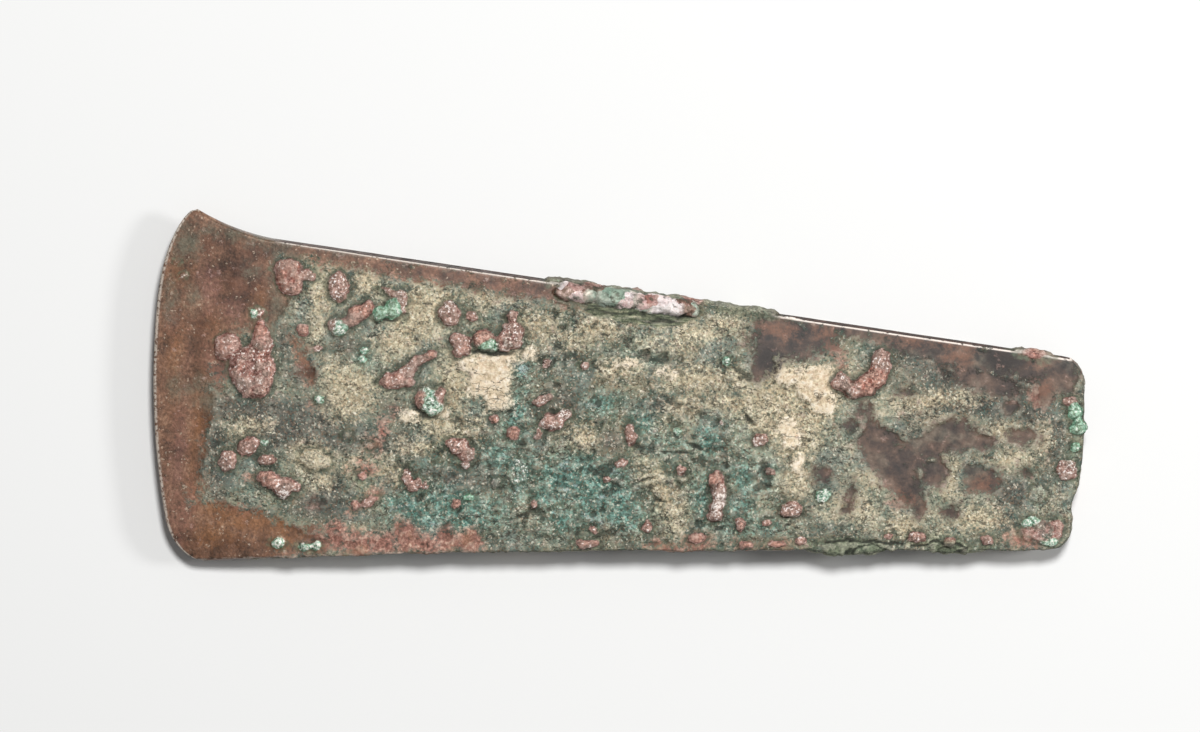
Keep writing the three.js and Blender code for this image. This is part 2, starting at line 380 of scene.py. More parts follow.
CHALK = [  # chalky lime
    (0.362, 0.26, 6.7, 6.7, 0, 4),
    (0.37, 0.11, 4.2, 3.9, 14, 3),
    (0.338, 0.34, 2.9, 2.4, 4, 3),
    (0.38, 0.41, 4.2, 2.2, 14, 3),
    (0.403, 0.45, 2.6, 2.1),
    (0.276, -0.07, 2.9, 1.6, -6, 3),
    (0.31, -0.02, 2.6, 1.4, 4, 3),
    (0.71, 0.47, 6.4, 5.5, 20, 3),
    (0.685, 0.51, 5.5, 2.6, 14),
    (0.718, 0.3, 3.9, 3.2, 4, 3),
    (0.684, 0.03, 3.2, 5.5, 24),
    (0.551, 0.42, 2.9, 1.4),
    (0.506, 0.46, 4.2, 1.1, 12),
    (0.695, -0.23, 2.2, 3.5),
]
TEAL = [  # stain of copper salts
    (0.531, 0.55, 4.2, 3.5),
    (0.323, -0.72, 11.9, 5.1, 4, 3),
    (0.282, -0.71, 8.0, 3.5),
    (0.449, -0.46, 11.2, 6.4),
    (0.491, -0.64, 9.6, 6.4, 4, 3),
    (0.264, -0.66, 6.4, 3.5),
    (0.29, -0.76, 10.3, 3.5),
    (0.317, -0.6, 9.6, 4.8),
    (0.334, -0.76, 7.1, 4.2),
    (0.315, -0.42, 6.4, 2.1, -16),
    (0.394, -0.46, 4.2, 5.8),
    (0.374, -0.3, 3.2, 4.8),
    (0.391, -0.02, 3.2, 8.3),
    (0.393, 0.36, 2.9, 4.8),
    (0.438, -0.39, 6.4, 3.5),
    (0.481, -0.53, 8.3, 8.0),
    (0.504, -0.71, 8.0, 4.8),
    (0.465, -0.33, 5.1, 4.5),
    (0.527, 0.04, 3.9, 4.2),
    (0.484, 0.15, 4.2, 1.9),
    (0.596, -0.09, 2.9, 4.2),
    (0.636, -0.48, 2.9, 9.6),
    (0.59, -0.6, 1.9, 7.1),
    (0.227, 0.34, 2.9, 3.9),
    (0.523, 0.57, 3.9, 3.5),
    (0.436, -0.76, 4.8, 2.6),
    (0.415, -0.61, 4.2, 3.2),
    (0.559, -0.11, 3.2, 1.9),
    (0.666, -0.36, 1.9, 3.2),
    (0.653, -0.82, 4.8, 1.3),
    (0.182, 0.02, 1.3, 1.6),
]
GREY = [  # thin grey film
    (0.899, 0.53, 13.5, 7.4, -2),
    (0.911, 0.15, 6.4, 3.5),
    (0.845, 0.47, 6.4, 3.2),
    (0.829, 0.33, 5.5, 6.4, 14),
    (0.867, 0.41, 9.6, 3.2),
    (0.882, 0.72, 20.9, 5.5, -4, 3),
    (0.839, 0.82, 9.6, 3.9, -4, 3),
    (0.92, 0.67, 9.6, 2.6, -2),
    (0.158, -0.16, 14.4, 6.4, 7, 3),
    (0.118, -0.1, 8.0, 4.2),
    (0.079, -0.1, 5.8, 3.5),
    (0.118, -0.1, 9.6, 4.2),
    (0.156, -0.16, 12.2, 6.1, -6),
    (0.196, -0.25, 7.1, 3.5, -6),
    (0.239, -0.25, 5.5, 2.6, -6),
    (0.271, -0.26, 3.5, 2.9),
    (0.064, -0.28, 2.2, 8.7),
    (0.063, -0.52, 2.2, 4.8),
    (0.187, -0.55, 3.9, 4.2),
    (0.176, -0.67, 6.1, 3.5),
    (0.324, -0.46, 7.1, 1.9, -6),
    (0.893, 0.72, 11.9, 2.9),
    (0.834, 0.71, 5.8, 2.9),
    (0.942, 0.35, 5.8, 4.8),
    (0.824, 0.27, 4.8, 4.2),
    (0.966, 0.15, 3.5, 7.1),
    (0.927, -0.43, 4.8, 4.8),
    (0.923, -0.68, 2.9, 2.9),
    (0.158, 0.15, 3.9, 2.6, -46),
    (0.141, 0.34, 2.2, 4.8, 14),
    (0.206, 0.38, 3.9, 1.6),
    (0.261, -0.04, 2.9, 2.2),
    (0.545, 0.16, 4.8, 1.9),
    (0.438, 0.13, 3.9, 2.9),
    (0.492, -0.14, 4.2, 2.6),
]
# The rough middle is darker and more layered, and two zones by the ends are paler
DEEP = [
    (0.532, 0.54, 7.1, 4.5),
    (0.622, -0.32, 8.0, 9.6),
    (0.595, -0.33, 6.4, 9.6),
    (0.642, -0.42, 7.1, 9.6),
    (0.666, -0.6, 4.8, 4.8),
    (0.612, -0.82, 9.6, 2.9),
    (0.436, -0.76, 14.4, 4.2),
    (0.33, 0.72, 12, 4.4, 0),
    (0.46, 0.55, 34, 12, -8),
    (0.48, 0.0, 34, 16, 0),
    (0.403, -0.547, 50, 18, 0),
    (0.57, -0.6, 30, 15, 0),
    (0.62, -0.25, 20, 14, 0),
    (0.63, 0.5, 8, 6, 0),
    (0.332, -0.345, 18, 12, 0),
]
PALE = [
    (0.572, 0.78, 16.0, 6.4, 4, 3),
    (0.775, -0.58, 9.6, 8.0),
    (0.2, 0.25, 28, 22, -10),
    (0.29, 0.4, 20, 24, 0),
    (0.13, 0.33, 5, 5, 0),
    (0.164, -0.429, 14, 7, 0),
    (0.69, 0.2, 22, 22, 0),
    (0.76, -0.4, 18, 12, 0),
    (0.785, 0.32, 8, 6, 0),
    (0.88, -0.5, 20, 12, 0),
    (0.92, 0.25, 16, 10, 0),
]
# Red oxide shows along the lower arris, as a lumpy band
RUST = [
    (0.73, 0.76, 1.9, 4.2, 24),
    (0.667, 0.87, 4.2, 1.3, -4),
    (0.868, 0.86, 2.9, 1.3),
    (0.944, 0.98, 4.2, 2.1, -6),
    (0.953, 0.61, 2.9, 2.9),
    (0.812, 0.95, 2.2, 1.0),
    (0.135, -0.93, 6, 2.4, 0),
    (0.167, -0.894, 7, 3.2, 0),
    (0.188, -0.869, 4, 4.6, 20),
    (0.205, -0.92, 7, 3.6, 0),
    (0.235, -0.92, 6, 3.2, 0),
    (0.265, -0.873, 4.4, 5.0, 20),
    (0.285, -0.93, 6, 3.4, 0),
    (0.306, -0.898, 4.4, 4.2, 0),
    (0.332, -0.92, 4.4, 3.6, 0),
    (0.56, -0.975, 6, 1.2, 0),
    (0.587, -0.92, 4.4, 2.8, 15),
    (0.639, -0.96, 3, 1.2, 0),
    (0.675, -0.96, 4, 1.2, 0),
    (0.952, 0.59, 4, 3.6, 0),
    (0.939, 0.98, 6, 1.6, 0),
    (0.89, -0.34, 3.4, 2.2, 0),
    (0.81, -0.52, 3, 2, 0),
    (0.246, -0.17, 4.8, 1.8, 69),
    (0.227, -0.43, 3.5, 1.4),
    (0.223, -0.64, 5.5, 1.3, 42),
    (0.114, -0.5, 3.2, 1.3),
    (0.07, 0.12, 2.6, 3, 0),
    (0.805, 0.96, 3, 1.0, 0),
    (0.866, 0.97, 4, 1.0, 0),
    (0.72, 0.9, 2.4, 1.2, 0),
    (0.95, -0.88, 6, 2.2, 0),
]
# Colours of the bare metal at the blade
ORANGE = [
    (0.02, 0.63, 2.9, 4.2),
    (0.044, -0.31, 2.1, 19.3, 1),
    (0.09, -0.75, 14.4, 3.9, -10),
    (0.05, -0.84, 6.4, 2.9),
    (0.022, 0.24, 1.9, 9.6),
    (0.133, -0.9, 9.6, 1.3, 2),
    (0.025, -0.06, 1.6, 6.4),
    (0.064, 0.31, 1.3, 4.8),
    (0.111, 0.61, 2.2, 1.6, 34),
]
PURPLE = [
    (0.025, -0.37, 1.8, 16.0, 0),
    (0.025, -0.72, 2.2, 6.4, -8),
    (0.067, 0.21, 3.5, 5.8),
    (0.087, -0.63, 3.9, 2.9),
    (0.114, -0.62, 3.2, 1.9),
    (0.053, 0.59, 2.6, 5.8),
    (0.077, 0.49, 3.2, 2.6),
    (0.064, -0.45, 1.3, 3.2),
    (0.019, 0.38, 1.3, 3.2),
]
OLIVE = [
    (0.017, 0.8, 3.9, 5.1, -6),
    (0.016, 0.49, 1.4, 3.2),
    (0.047, 0.02, 3.2, 2.6),
    (0.061, 0.96, 4.2, 1.4, -18),
    (0.098, 0.99, 3.5, 1.4, -10),
    (0.024, 0.01, 1.6, 2.6),
    (0.058, -0.06, 3.2, 1.3),
    (0.074, -0.54, 1.9, 2.6),
    (0.127, 0.62, 1.3, 8.0),
    (0.134, 0.88, 1.6, 1.9),
    (0.172, 1.01, 14.4, 0.5, -3),
    (0.037, 0.51, 1.6, 2.2),
    (0.094, 0.75, 1.3, 1.3),
]
UMBER = [
    (0.914, 0.92, 4.8, 3.9, 4, 3),
    (0.661, 0.62, 3.0, 2.4),
    (0.089, 0.89, 9.0, 2.6, -8),
    (0.072, 0.79, 6.4, 1.9, 32),
    (0.091, 0.68, 7.4, 7.4),
    (0.173, 0.99, 15.4, 1.6, -3, 3),
    (0.284, 0.96, 20.9, 2.4, -4, 3),
    (0.384, 0.92, 14.4, 2.4, -4, 3),
    (0.039, 0.82, 3.2, 2.9),
    (0.02, -0.89, 4.8, 1.9, -16),
    (0.153, 0.56, 4.8, 2.6, 14),
    (0.056, -0.16, 1.3, 6.4),
    (0.079, -0.9, 8.0, 1.3),
    (0.165, 0.18, 1.4, 9.6, -64),
    (0.049, 0.35, 2.2, 6.4),
]

bare = painted(BARE, 0.8)
dark = painted(DARK, 0.8)
sand = painted(SAND, 0.9)
chalk = painted(CHALK, 0.35)
teal = painted(TEAL, 1.1)
grey = painted(GREY, 0.9)
deep = painted(DEEP, 1.0)
pale = painted(PALE, 1.0)
rust = painted(RUST, 0.8)
orange = painted(ORANGE, 0.6)
purple = painted(PURPLE, 0.6)
olive = painted(OLIVE, 0.6)
umber = painted(UMBER, 0.8)

# The narrow sides and the underside carry the same surfaces, placed by noise
hidden = smooth_step(0.5 - level * 1.4)


def all_round(seen, unseen):
    """A field that changes from the painted one to the hidden one on the way down a narrow side"""
    return seen * (1 - hidden) + unseen * hidden


BARE_END = 0.08  # share along at which the hidden sides' bare metal ends
BARE_FADE = 0.14  # share along up to which its edge may wander
SHADED_SIDE_TO, SHADED_SIDE_FROM = 0.45, 0.66  # shares along that bound the crust on the upper narrow side
wander = 1.2 * ragged + np.where(along < BARE_FADE, lumpy, 0)
bare = all_round(bare, (BARE_END - along) * 60 + wander)
dark = all_round(dark, grown(17, 0.4, 210))
# Outside those shares the upper narrow side gets the dark oxide, painted there as shade
shaded_upper_side = on_side & (across > 0) & ((along < SHADED_SIDE_TO) | (along > SHADED_SIDE_FROM))
dark = np.where(shaded_upper_side, 1.6 + 0.5 * ragged, dark)
sand = all_round(sand, grown(13, 0.2, 250))
chalk = all_round(chalk, grown(11, 0.62, 290))
teal = all_round(teal, grown(12, 0.42, 330))
grey = all_round(grey, grown(15, 0.25, 370))
deep = all_round(deep, grown(22, 0.1, 410))
pale = all_round(pale, grown(19, 0.1, 450))
rust = all_round(rust, grown(14, 0.5, 490))

# Warts of copper oxide, pink to brick red, have grown out of the metal, some with green and white
# crystals. Rows are along, across, long, wide, high, turn and tint.
WARTS = [
    (0.392, -0.41, 3.4, 4.6, 0.15, 0, "frost"),
    (0.079, 0.28, 4.3, 4.3, 1.0, 0, "pink"),
    (0.107, 0.15, 7.6, 7.4, 0.9, 10, "pink"),
    (0.116, 0.31, 3.4, 4.4, 0.8, 0, "pink"),
    (0.114, 0.4, 2.6, 3.2, 0.8, 0, "red"),
    (0.116, 0.29, 1.5, 2.0, 0.95, 0, "pale"),
    (0.112, 0.04, 4.6, 3.2, 0.6, 15, "red"),
    (0.078, -0.41, 2.8, 3.4, 0.7, -15, "pink"),
    (0.078, -0.401, 1.1, 1.4, 0.8, -15, "mint"),
    (0.101, -0.309, 3.6, 3.0, 0.8, 35, "pink"),
    (0.119, -0.283, 1.2, 1.2, 0.6, 0, "mint"),
    (0.122, -0.387, 3.0, 1.8, 0.7, 0, "pink"),
    (0.118, -0.5, 2.8, 2.2, 0.9, 20, "red"),
    (0.131, -0.53, 5.4, 2.4, 1.2, -12, "pink"),
    (0.134, -0.587, 2.2, 2.4, 1.2, 0, "pale"),
    (0.146, -0.551, 2.0, 1.6, 0.8, 0, "pink"),
    (0.172, -0.382, 5.0, 3.4, 0.5, -10, "sand"),
    (0.208, -0.221, 1.6, 1.4, 0.5, 0, "sand"),
    (0.232, -0.271, 1.5, 1.2, 0.5, 0, "sand"),
    (0.136, 0.78, 4.2, 5.2, 1.0, -8, "red"),
    (0.132, 0.83, 4.4, 2.4, 0.9, 0, "pink"),
    (0.142, 0.71, 2.8, 2.4, 0.8, 0, "pink"),
    (0.154, 0.8, 3.4, 1.4, 0.6, -12, "pink"),
    (0.191, 0.76, 3.3, 4.7, 1.0, 0, "mauve"),
    (0.191, 0.71, 1.1, 1.3, 1.2, 0, "pale"),
    (0.216, 0.6, 5.2, 2.5, 1.0, 42, "red"),
    (0.212, 0.56, 2.0, 1.6, 1.0, 42, "red"),
    (0.239, 0.61, 2.4, 2.2, 0.9, 0, "green"),
    (0.252, 0.66, 2.6, 2.8, 0.9, 0, "green"),
    (0.249, 0.76, 4.2, 1.2, 0.7, -20, "mauve"),
    (0.263, 0.7, 1.2, 3.2, 0.7, 10, "mauve"),
    (0.198, 0.49, 2.4, 2.0, 0.8, 0, "mint"),
    (0.192, 0.5, 1.6, 2.0, 0.7, 0, "mauve"),
    (0.159, 0.45, 2.0, 2.0, 0.2, 0, "red"),
    (0.177, 0.34, 1.4, 1.2, 0.2, 0, "mauve"),
    (0.313, 0.67, 3.4, 3.7, 1.1, 10, "mauve"),
    (0.312, 0.72, 1.8, 1.4, 1.2, 0, "pale"),
    (0.337, 0.67, 2.2, 1.7, 0.7, -35, "pink"),
    (0.381, 0.71, 1.8, 1.5, 0.6, 0, "pink"),
    (0.325, 0.49, 2.2, 2.4, 1.1, 0, "pink"),
    (0.332, 0.46, 2.6, 3.0, 1.1, 10, "pink"),
    (0.327, 0.42, 1.8, 2.0, 1.0, -20, "pink"),
    (0.352, 0.53, 3.0, 2.8, 1.2, 0, "red"),
    (0.358, 0.48, 2.6, 2.2, 1.2, 0, "green"),
    (0.378, 0.53, 3.6, 3.2, 1.25, 0, "pink"),
    (0.376, 0.5, 1.8, 1.6, 1.3, 20, "pale"),
    (0.384, 0.61, 3.4, 2.2, 1.2, -20, "mauve"),
    (0.389, 0.53, 1.6, 2.4, 1.0, 0, "mauve"),
    (0.262, 0.17, 5.4, 2.4, 0.9, 4, "pink"),
    (0.272, 0.23, 3.2, 2.0, 0.8, 40, "pink"),
    (0.283, 0.31, 3.8, 1.7, 0.7, 38, "pink"),
    (0.296, 0.37, 2.0, 0.8, 0.5, 35, "red"),
    (0.292, 0.05, 2.6, 3.0, 1.0, 0, "red"),
    (0.3, 0.02, 3.6, 3.4, 1.1, 0, "mint"),
    (0.308, 0.07, 1.6, 4.0, 1.1, -20, "pink"),
    (0.297, 0.12, 2.0, 1.2, 0.8, 0, "mint"),
    (0.328, -0.246, 3.2, 2.6, 0.9, -10, "pink"),
    (0.336, -0.286, 3.0, 2.2, 0.9, -20, "pink"),
    (0.336, -0.384, 1.4, 1.5, 0.7, 0, "pale"),
    (0.272, -0.449, 1.4, 2.0, 0.6, 0, "mauve"),
    (0.278, -0.518, 1.8, 2.0, 0.8, 0, "pink"),
    (0.29, -0.538, 1.2, 1.2, 0.5, 0, "mauve"),
    (0.43, -0.03, 3.4, 2.6, 0.9, 10, "pink"),
    (0.427, -0.05, 2.0, 1.2, 1.0, 10, "pale"),
    (0.443, 0.03, 2.0, 1.5, 0.5, 30, "pale"),
    (0.418, 0.12, 3.6, 1.3, 0.5, 25, "pink"),
    (0.366, -0.049, 1.4, 1.2, 0.4, 0, "red"),
    (0.388, -0.129, 2.2, 1.6, 0.5, 0, "red"),
    (0.414, -0.139, 1.0, 1.2, 0.4, 0, "pink"),
    (0.368, -0.495, 1.4, 1.5, 0.7, 0, "ochre"),
    (0.323, -0.65, 1.2, 1.4, 0.4, 0, "red"),
    (0.407, -0.646, 0.9, 1.5, 0.5, 0, "pink"),
    (0.228, -0.639, 2.6, 1.3, 0.4, 25, "pink"),
    (0.211, -0.675, 1.2, 1.8, 0.4, 0, "red"),
    (0.223, -0.473, 1.6, 1.0, 0.3, 0, "red"),
    (0.338, -0.612, 1.4, 1.0, 0.3, 0, "green"),
    (0.463, 0.41, 1.5, 1.2, 0.5, 0, "mauve"),
    (0.421, 0.39, 1.4, 1.4, 0.5, 0, "mauve"),
    (0.489, -0.44, 1.5, 1.1, 0.5, 0, "pink"),
    (0.502, -0.45, 1.6, 1.0, 0.4, -20, "ochre"),
    (0.472, -0.83, 1.5, 0.9, 0.3, -30, "pink"),
    (0.514, -0.09, 1.5, 3.4, 0.7, 5, "pink"),
    (0.504, -0.31, 1.8, 1.8, 0.7, -30, "pink"),
    (0.569, -0.34, 1.6, 1.6, 0.7, 0, "pink"),
    (0.569, -0.41, 1.4, 1.6, 0.6, 0, "sand"),
    (0.606, -0.4, 2.2, 2.6, 0.8, 0, "red"),
    (0.608, -0.48, 2.0, 2.6, 1.1, 0, "pink"),
    (0.611, -0.55, 1.9, 3.0, 1.1, 0, "pale"),
    (0.606, -0.63, 1.9, 3.4, 1.2, 0, "pale"),
    (0.606, -0.69, 2.2, 2.6, 1.0, 0, "pink"),
    (0.634, -0.78, 2.0, 2.0, 0.8, -20, "pink"),
    (0.663, -0.76, 1.4, 0.9, 0.5, 0, "pink"),
    (0.689, -0.64, 3.2, 2.8, 0.9, -20, "mauve"),
    (0.692, -0.63, 2.6, 1.6, 1.0, 30, "pink"),
    (0.654, -0.05, 1.9, 2.2, 0.8, 0, "pink"),
    (0.65, -0.08, 1.2, 1.4, 0.8, 0, "pale"),
    (0.664, -0.32, 1.4, 1.2, 0.5, -20, "pink"),
    (0.531, -0.8, 1.4, 2.4, 0.5, 20, "pink"),
    (0.737, 0.49, 3.0, 2.8, 1.1, -20, "pink"),
    (0.75, 0.45, 3.4, 2.9, 1.2, -10, "pink"),
    (0.765, 0.49, 3.4, 3.2, 1.2, 30, "red"),
    (0.776, 0.58, 3.2, 3.2, 1.2, 60, "red"),
    (0.781, 0.69, 2.8, 3.0, 1.1, -10, "pink"),
    (0.779, 0.78, 2.2, 1.4, 0.8, 0, "pink"),
    (0.723, -0.51, 2.2, 2.2, 0.5, 0, "mint"),
    (0.613, 0.56, 1.3, 1.3, 0.5, 0, "mint"),
    (0.564, -0.02, 1.3, 1.2, 0.5, 0, "mint"),
    (0.611, 0.05, 0.8, 0.8, 0.4, 0, "pale"),
    (0.957, -0.41, 2.8, 2.8, 0.15, 0, "moss"),
    (0.989, 0.46, 2.2, 2.4, 0.6, 0, "green"),
    (0.992, 0.3, 2.2, 2.4, 0.6, 0, "green"),
    (0.991, 0.08, 1.6, 1.4, 0.5, 0, "green"),
    (0.984, 0.56, 2.2, 1.4, 0.4, 0, "pink"),
    (0.984, -0.16, 3.4, 3.4, 0.4, 0, "mauve"),
    (0.985, -0.13, 2.0, 2.0, 0.7, 0, "mint"),
    (0.966, -0.8, 6.4, 3.2, 0.2, 10, "faint"),
    (0.952, -0.71, 2.4, 1.6, 0.5, 20, "mint"),
    (0.98, -0.91, 2.2, 1.2, 0.6, 0, "mint"),
    (0.985, -0.78, 1.4, 2.4, 0.5, 0, "pink"),
    (0.83, -0.87, 2.6, 2.0, 0.7, 0, "pink"),
    (0.866, -0.92, 2.0, 1.5, 0.7, 0, "red"),
    (0.908, -0.9, 1.8, 1.6, 0.6, 0, "pink"),
    (0.8, -0.86, 1.4, 0.9, 0.3, 0, "pink"),
    (0.121, -0.906, 2.2, 1.4, 0.5, 0, "mint"),
    (0.15, -0.94, 1.8, 1.0, 0.5, 0, "mint"),
    (0.163, -0.92, 1.6, 1.5, 0.5, 0, "mint"),
    (0.463, -0.94, 3.0, 1.2, 0.5, 0, "red"),
    (0.463, -0.95, 1.5, 0.8, 0.6, 0, "pale"),
    (0.587, -0.89, 3.0, 1.8, 0.4, 15, "red"),
    (0.639, -0.95, 2.0, 1.0, 0.4, 0, "red"),
    (0.675, -0.95, 2.6, 1.0, 0.4, 0, "red"),
    (0.702, -0.92, 1.6, 1.2, 0.4, 0, "pink"),
    (0.105, 0.51, 1.0, 1.4, 0.3, 0, "mint"),
    (0.112, 0.51, 0.8, 1.0, 0.3, 0, "pale"),
    (0.226, 0.36, 1.2, 1.2, 0.3, 0, "mint"),
    (0.225, 0.29, 1.0, 1.0, 0.3, 0, "mint"),
    (0.18, 0.0, 1.4, 1.6, 0.3, 0, "mint"),
    (0.014, 0.7, 0.8, 0.7, 0.1, 0, "ochre"),
    (0.023, 0.62, 1.2, 1.0, 0.1, 30, "ochre"),
]
# The white crystal share also places painted glints on the warts
TINTS = {  # how much red oxide, green crystal, white crystal and broken facets each has
    "pink": (0.75, 0.0, 0.4, 0.0),
    "red": (1.0, 0.0, 0.1, 0.0),
    "mauve": (0.55, 0.0, 0.5, 0.0),
    "green": (0.0, 1.0, 0.35, 0.0),
    "moss": (0.12, 0.2, 0.0, 0.0),
    "mint": (0.1, 0.7, 0.75, 0.0),
    "pale": (0.45, 0.0, 1.0, 0.0),
    "sand": (0.0, 0.0, 0.0, 0.0),
    "ochre": (0.1, 0.1, 0.3, 0.0),
    "faint": (0.28, 0.05, 0.25, 0.0),
    "frost": (0.0, 0.1, 0.4, 0.0),
    "facets": (0.0, 0.0, 0.0, 1.0),
}
BLEND = 0.3  # millimetres over which neighbouring warts run together
TINY = 1e-200  # weight that keeps the sums below from dividing by nothing
wart_grit = fractal(skin + 170, 1.3, 2)


def run_together(lumps):
    """Depth, height, radius and tint of warts that blend where they meet.

    Each lump is its own depth, radius, height and tint."""
    weights = np.full(len(skin), TINY)
    sums = np.zeros((len(skin), 6))
    for depth, radius, high, tint in lumps:
        weight = np.exp(np.maximum(depth, -60) / BLEND)
        weights += weight
        sums += np.outer(weight, (high, radius, *TINTS[tint]))
    sums /= weights[:, None]
    return BLEND * np.log(weights) + 0.1 * wart_grit, sums[:, 0], sums[:, 1], sums[:, 2:]


def on_face(rows, face):
    """The warts of one broad face, where face is 1 on it and 0 elsewhere"""
    lumps = (
        (inside(place, side, long, wide, turn), min(long, wide) / 2, high, tint)
        for place, side, long, wide, high, turn, tint in rows
    )
    depth, high, radius, tint = run_together(lumps)
    return depth * face - 3 * (1 - face), high, radius, tint


face = smooth_step(level * 3 - 1)
face_depth, face_high, face_radius, face_tint = on_face(WARTS, face)

# Lower ones are under the axe, towards its ends
UNDER_WARTS = [
    (0.14, 0.5, 7.0, 5.0, 0.7, 20, "pink"),
    (0.19, -0.35, 6.0, 6.0, 0.6, 0, "red"),
    (0.9, 0.35, 6.0, 4.0, 0.45, -20, "pink"),
    (0.94, -0.4, 4.0, 5.0, 0.5, 0, "mauve"),
    (0.09, -0.12, 4.0, 3.0, 0.8, 30, "pink"),
    (0.11, 0.76, 3.0, 4.0, 0.7, 0, "red"),
    (0.17, 0.1, 3.0, 2.4, 0.6, 0, "mint"),
    (0.22, 0.7, 4.0, 3.0, 0.5, 10, "mauve"),
    (0.08, 0.36, 2.6, 2.2, 0.6, 0, "green"),
    (0.16, -0.74, 4.0, 2.4, 0.6, 5, "pink"),
    (0.24, -0.62, 3.0, 3.0, 0.4, 0, "pale"),
    (0.95, 0.1, 3.0, 3.0, 0.4, 0, "red"),
    (0.97, 0.6, 2.4, 2.0, 0.4, 0, "green"),
    (0.87, -0.7, 3.0, 2.0, 0.4, 0, "pink"),
]
below = smooth_step(-level * 3 - 1)
under_depth, under_high, under_radius, under_tint = on_face(UNDER_WARTS, below)

# Bigger warts stand in rows on the arrises and narrow sides: from, to, how many, across, long,
# wide, high, how far below the upper face, and their tints in turn
ROWS = [
    (0.437, 0.565, 9, 0.935, 4.0, 2.4, 0.8, 0.3, ("facets",)),
    (0.42, 0.57, 8, 0.985, 3.6, 2.4, 0.7, 2.4, ("moss", "sand", "red", "moss", "sand")),
    (0.43, 0.56, 6, 0.99, 3.2, 2.2, 0.6, 4.6, ("sand", "moss", "sand", "red")),
    (0.59, 0.655, 5, 0.985, 4.0, 2.4, 0.8, 2.4, ("moss", "sand", "sand")),
    (0.935, 0.965, 3, 0.98, 3.6, 2.0, 0.6, 1.8, ("sand", "red", "moss")),
    (0.73, 0.775, 3, -0.975, 7.0, 3.6, 0.7, 2.6, ("sand", "moss")),
    (0.87, 0.9, 3, -0.975, 5.0, 2.6, 0.6, 2.2, ("sand", "moss")),
]


def row_lumps():
    """The warts of every row, from first to last"""
    for start, end, count, side, long, wide, high, down, row_tints in ROWS:
        for i in range(count):
            place = start + (end - start) * i / max(1, count - 1)
            size = 1 + 0.16 * math.sin(2.4 * i)
            top = MIDDLE + float(thickness(np.array(place), np.array(side))) / 2 - down
            turn = -math.copysign(math.degrees(SIDE_ANGLE), side)
            tall = (top - wide * 0.9 * size, top + wide * 0.9 * size)
            depth = inside(place, side, long * size, wide * size, turn, tall=tall)
            yield depth, wide * size / 2, high * size, row_tints[i % len(row_tints)]


row_depth, row_high, row_radius, row_tint = run_together(row_lumps())


def dome(depth, radius, high):
    """Height of a wart that rises steeply at its rim and is nearly flat on top"""
    share = np.clip(depth / radius, 0, 1)
    return high * (1 - (1 - share) ** 3.4) ** 0.8


def cover_of(depth, width=0.6):
    """1 inside a patch and 0 outside it, with an edge of that width"""
    return smooth_step(depth / width + 0.5)


wart_top = dome(face_depth, face_radius, face_high)
side_push = dome(row_depth, row_radius, row_high) + dome(under_depth, under_radius, under_high)
face_cover = cover_of(face_depth, 0.3)[:, None]
row_cover = cover_of(row_depth, 0.3)[:, None]
under_cover = cover_of(under_depth, 0.3)[:, None]
spots = face_tint * face_cover * (1 - row_cover) + row_tint * row_cover + under_tint * under_cover
RAISED = 0.02  # millimetres that a point of a wart stands out at least
BIG_CRAG = 1.5
SMALL_CRAG = 0.7


def crag_at(spot):
    """Height of crystal lumps, large and small, at a point of the skin"""
    big = noise.voronoi(Vector(spot / BIG_CRAG))[0][0]
    small = noise.voronoi(Vector(spot / SMALL_CRAG))[0][0]
    return 0.8 - big - 0.5 * small


crags = np.zeros(len(skin))
for i in np.flatnonzero((wart_top > RAISED) | (side_push > RAISED)):
    crags[i] = crag_at(skin[i])
beside_wart = smooth_step(1 + np.maximum(face_depth, row_depth) / 1.1) * (1 - face_cover[:, 0])

# Flat leaves of scale lie along the lower arris, behind zigzag cracks: width, then the points that
# a crack runs through, as pairs of along and across
ZIGZAGS = [
    (0.5, (0.728, -0.935), (0.752, -0.9), (0.778, -0.93), (0.79, -0.915), (0.815, -0.945)),
    (0.35, (0.752, -0.985), (0.782, -0.95), (0.8, -0.975)),
    (0.5, (0.823, -0.955), (0.843, -0.96), (0.852, -0.91),
     (0.862, -0.935), (0.873, -0.93), (0.886, -0.965)),
    (0.3, (0.856, -0.975), (0.87, -0.96), (0.884, -0.985)),
]
LEAVES = [
    (0.752, -0.965, 8, 2.6, 2),
    (0.785, -0.975, 6, 1.8),
    (0.866, -0.965, 6, 2.2, 2),
]


def beside_line(width, *points):
    """Depth inside a line of that width through points given as shares"""
    depth = np.full(len(skin), OUTSIDE)
    places = [plan(*map(np.array, point)) for point in points]
    for (x0, y0), (x1, y1) in zip(places, places[1:]):
        run_x, run_y = x1 - x0, y1 - y0
        share = ((bent_x - x0) * run_x + (bent_y - y0) * run_y) / (run_x**2 + run_y**2)
        share = np.clip(share, 0, 1)
        far = np.hypot(bent_x - x0 - share * run_x, bent_y - y0 - share * run_y)
        depth = np.maximum(depth, width / 2 - far)
    return depth


leaf = all_round(painted(LEAVES, 0.3), OUTSIDE)

# Cracks in the crust, and thin layers of scale below the row of crystals on the upper arris. Rows
# are along, across, long, wide, turn.
CRACKS = [
    (0.563, 0.885, 4, 0.8, 25),
    (0.365, 0.435, 8, 1.1, 0),
    (0.286, -0.02, 4.4, 0.7, -40),
    (0.297, -0.064, 3.6, 0.7, 5),
    (0.245, 0.57, 4.4, 0.9, 12),
    (0.56, -0.2, 7, 0.6, 2),
    (0.585, -0.15, 5, 0.6, -25),
    (0.53, -0.43, 3.4, 0.6, 20),
    (0.545, -0.6, 3, 0.6, 0),
    (0.129, -0.606, 5.4, 0.6, -10),
    (0.69, -0.7, 4.4, 0.8, 15),
    (0.744, 0.41, 5, 0.6, -28),
    (0.772, 0.46, 3, 0.6, 50),
    (0.372, 0.02, 7, 0.5, 3),
    (0.64, 0.12, 4.6, 0.6, -40),
]
LAMINAE = (0.515, 0.865, 18, 4.4, -3)
